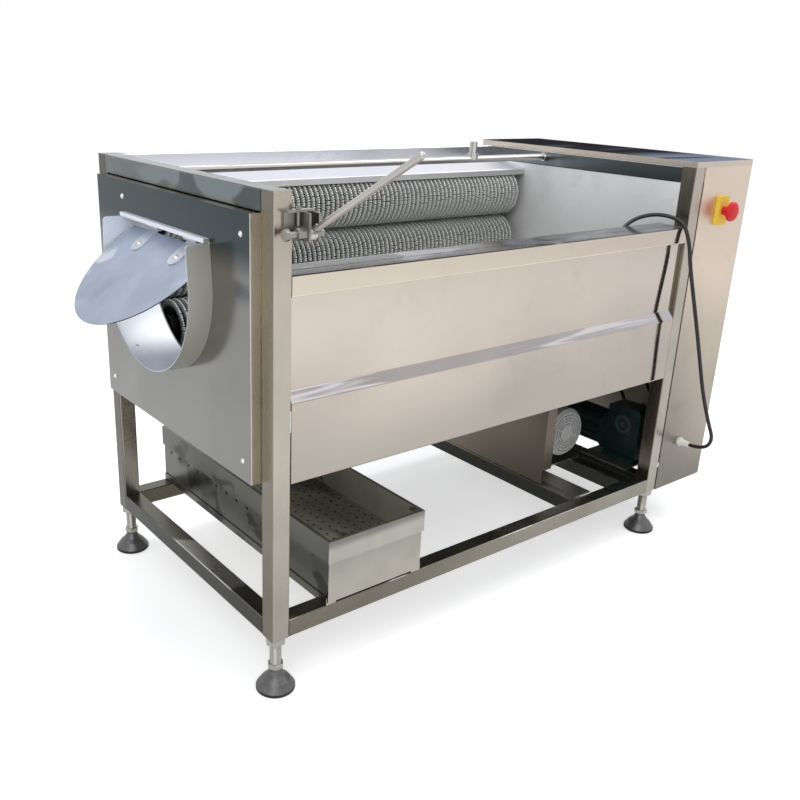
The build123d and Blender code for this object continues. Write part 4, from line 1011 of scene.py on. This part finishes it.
# %% [markdown]
# The tray's floor is a plate with a square grid of round holes.  A Boolean
# could cut them, but it leaves long thin faces, so every hole sits in a cell
# of its own instead: eight faces lead from the cell's edge to the rim
# of the hole, on the upper and on the lower side, and eight more line it.
# Cells at the plate's edge are wider, so the plate always fills its walls.

# %% Cells with holes
def cell_edges(low, high, pitch, margin):
    """Hole centres along one direction, and the borders between their cells."""
    count = 1 + int((high - low - 2 * margin) / pitch)
    middle = (low + high) / 2
    centres = [middle + (number - (count - 1) / 2) * pitch for number in range(count)]
    borders = [low] + [(a + b) / 2 for a, b in zip(centres, centres[1:])] + [high]
    return list(zip(centres, borders, borders[1:]))


def hole_cell(vertices, faces, column, row, levels, radius):
    """One cell of the plate: its upper side, its lower side and the hole's wall."""
    (x, x_low, x_high), (y, y_low, y_high) = column, row
    rim = [(x_high, y), (x_high, y_high), (x, y_high), (x_low, y_high), (x_low, y), (x_low, y_low),
           (x, y_low), (x_high, y_low)]
    turns = [k * math.pi / 4 for k in range(8)]
    edge = [(x + radius * math.cos(turn), y + radius * math.sin(turn)) for turn in turns]
    start = len(vertices)
    for level in levels:
        vertices.extend((*place, level) for place in rim + edge)
    for k in range(8):
        after = (k + 1) % 8
        faces.append((start + k, start + after, start + 8 + after, start + 8 + k))
        faces.append((start + 16 + after, start + 16 + k, start + 24 + k, start + 24 + after))
        faces.append((start + 8 + k, start + 8 + after, start + 24 + after, start + 24 + k))


tray_sheet, tray_depth = 0.002, 0.08
wall_inset = 0.0085
hole_pitch, hole_radius, hole_margin = 0.0254, 0.0034, 0.011
low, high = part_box("perforated_tray")
floor_top = high.z - tray_depth + tray_sheet
floor_levels = (floor_top, floor_top - tray_sheet)
plate_vertices, plate_faces = [], []
for column in cell_edges(low.x + wall_inset, high.x - wall_inset, hole_pitch, hole_margin):
    for row in cell_edges(low.y + wall_inset, high.y - wall_inset, hole_pitch, hole_margin):
        hole_cell(plate_vertices, plate_faces, column, row, floor_levels, hole_radius)
plate = new_mesh("plate", plate_vertices, plate_faces)
plate.data.materials.append(tray_floor_finish)
print("tray holes", len(plate_faces) // 24)

# %% [markdown]
# The tray's walls and its folded collar are exact in the solid already, so
# they are taken over: a copy of its mesh, without the faces of its old floor.

# %% Tray walls
def tray_walls(node, below):
    """The faces of the solid that reach above its floor."""
    kept = bmesh.new()
    kept.from_mesh(nodes[node].data)
    kept.transform(nodes[node].matrix_world)
    flat = [face for face in kept.faces if all(corner.co.z < below for corner in face.verts)]
    bmesh.ops.delete(kept, geom=flat, context="FACES")
    mesh = bpy.data.meshes.new("walls")
    kept.to_mesh(mesh)
    kept.free()
    walls = bpy.data.objects.new("walls", mesh)
    bpy.context.scene.collection.objects.link(walls)
    mesh.materials.clear()
    mesh.materials.append(tray_finish)
    return walls


walls = tray_walls("perforated_tray", floor_top + 0.0002)
print("wall faces", len(walls.data.polygons))
tray = merge("tray_with_holes", plate, walls)
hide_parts("perforated_tray")
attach(tray, "perforated_tray")

# %% [markdown]
# A levelling foot turns on a threaded stem.  A bump map would leave the stem's
# outline straight, so the thread is a real helix: the stem's radius rises and
# falls with the height, and the ridge climbs by one pitch a turn.

# %% Threaded stem
def soften(piece):
    """Smooth shading with the real edges kept sharp."""
    piece.data.shade_smooth()
    piece.data.set_sharp_from_angle(angle=math.radians(35))
    return piece


def threaded_stem(name, centre, bottom, top, radius, pitch, around=24, levels_per_turn=5):
    """A rod with a helical ridge."""
    vertices, faces = [], []
    depth = pitch * 0.45
    levels = int((top - bottom) / pitch * levels_per_turn)
    for level in range(levels + 1):
        height = bottom + (top - bottom) * level / levels
        for step in range(around):
            share = (height / pitch - step / around) % 1.0
            reach = radius - depth * abs(2 * share - 1)
            turn = 2 * math.pi * step / around
            vertices.append((centre[0] + reach * math.cos(turn), centre[1] + reach * math.sin(turn), height))
    for level in range(levels):
        for step in range(around):
            after = (step + 1) % around
            here, above = level * around, (level + 1) * around
            faces.append((here + step, here + after, above + after, above + step))
    faces.append(tuple(reversed(range(around))))
    faces.append(tuple(range(levels * around, (levels + 1) * around)))
    return new_mesh(name, vertices, faces)


stem_radius, stem_pitch = 0.0125, 0.003
pad_top, post_bottom = 0.050, 0.124
print("turns of thread", round((post_bottom - pad_top) / stem_pitch, 1))

# %% [markdown]
# One nut locks each stem under its post and a smaller one sits on the pad.
# Nuts are six-sided turnings with chamfered ends.

# %% Feet
def nut(name, centre, bottom, top, radius):
    """A hexagon nut with chamfered ends."""
    chamfer = radius * 0.12
    outline = [(bottom, radius - chamfer), (bottom + chamfer / 2, radius), (top - chamfer / 2, radius),
               (top, radius - chamfer)]
    return lathe(name, outline, (centre[0], centre[1], 0), "Z", 6)


lock_nut_height, lock_nut_radius = 0.016, 0.0215
pad_nut_height, pad_nut_radius = 0.011, 0.0175
pad_radius = 0.041
pad_low, pad_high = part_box("foot_pads")
stems = []
for x in (pad_low.x + pad_radius, pad_high.x - pad_radius):
    for y in (pad_low.y + pad_radius, pad_high.y - pad_radius):
        stems.append(soften(threaded_stem("stem", (x, y), pad_top, post_bottom, stem_radius, stem_pitch)))
        stems.append(nut("lock_nut", (x, y), post_bottom - lock_nut_height, post_bottom, lock_nut_radius))
        stems.append(nut("pad_nut", (x, y), pad_top, pad_top + pad_nut_height, pad_nut_radius))
for piece in stems:
    piece.data.materials.append(fitting_finish)
threaded = merge("threaded_feet", *stems)
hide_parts("foot_stems")
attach(threaded, "machine")
print("stems", len(stems) // 3)

# %% [markdown]
# Four small domed screws hold the cover at the discharge end, not quite at
# its corners.

# %% Cover screws
head_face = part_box("left_cover_screws")[1].x
head_profile = [(-0.0044, 0.0006), (-0.004, 0.0024), (-0.0028, 0.0038), (-0.0012, 0.0044), (-0.001, 0.0056),
                (0.0, 0.0058)]
heads = []
for y, z in ((0.050, 0.935), (0.548, 0.940), (0.050, 0.504), (0.646, 0.504)):
    heads.append(soften(lathe("head", head_profile, (head_face, y, z), "X", 24)))
    heads[-1].data.materials.append(screw_finish)
screws = merge("cover_screws", *heads)
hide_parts("left_cover_screws")
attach(screws, "machine")
print("screws", len(heads))

# %% [markdown]
# Under the cabinet the gearbox shows a bearing cap with the end of its shaft,
# turned in steps.  The shaft lies where the drive sprocket turns.

# %% Bearing cap on the gearbox
cap_sink = 0.012
cap_profile = [(-0.010, 0.002), (-0.010, 0.008), (-0.006, 0.009), (-0.006, 0.017), (-0.009, 0.019),
               (-0.009, 0.027), (-0.003, 0.029), (-0.003, 0.034), (0.001, 0.034)]
sprocket_low, sprocket_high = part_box("drive_sprocket")
cap_place = (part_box("gearbox")[0].x + cap_sink, (sprocket_low.y + sprocket_high.y) / 2,
             (sprocket_low.z + sprocket_high.z) / 2)
cap = soften(lathe("bearing_cap", cap_profile, cap_place))
cap.data.materials.append(boss_finish)
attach(cap, "machine")
print("bearing cap at", [round(value, 3) for value in cap_place])

# %% [markdown]
# The last cell prints the size of the dressed model.

# %% Finish
low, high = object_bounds()
print("size", [round(b - a, 3) for a, b in zip(low, high)])
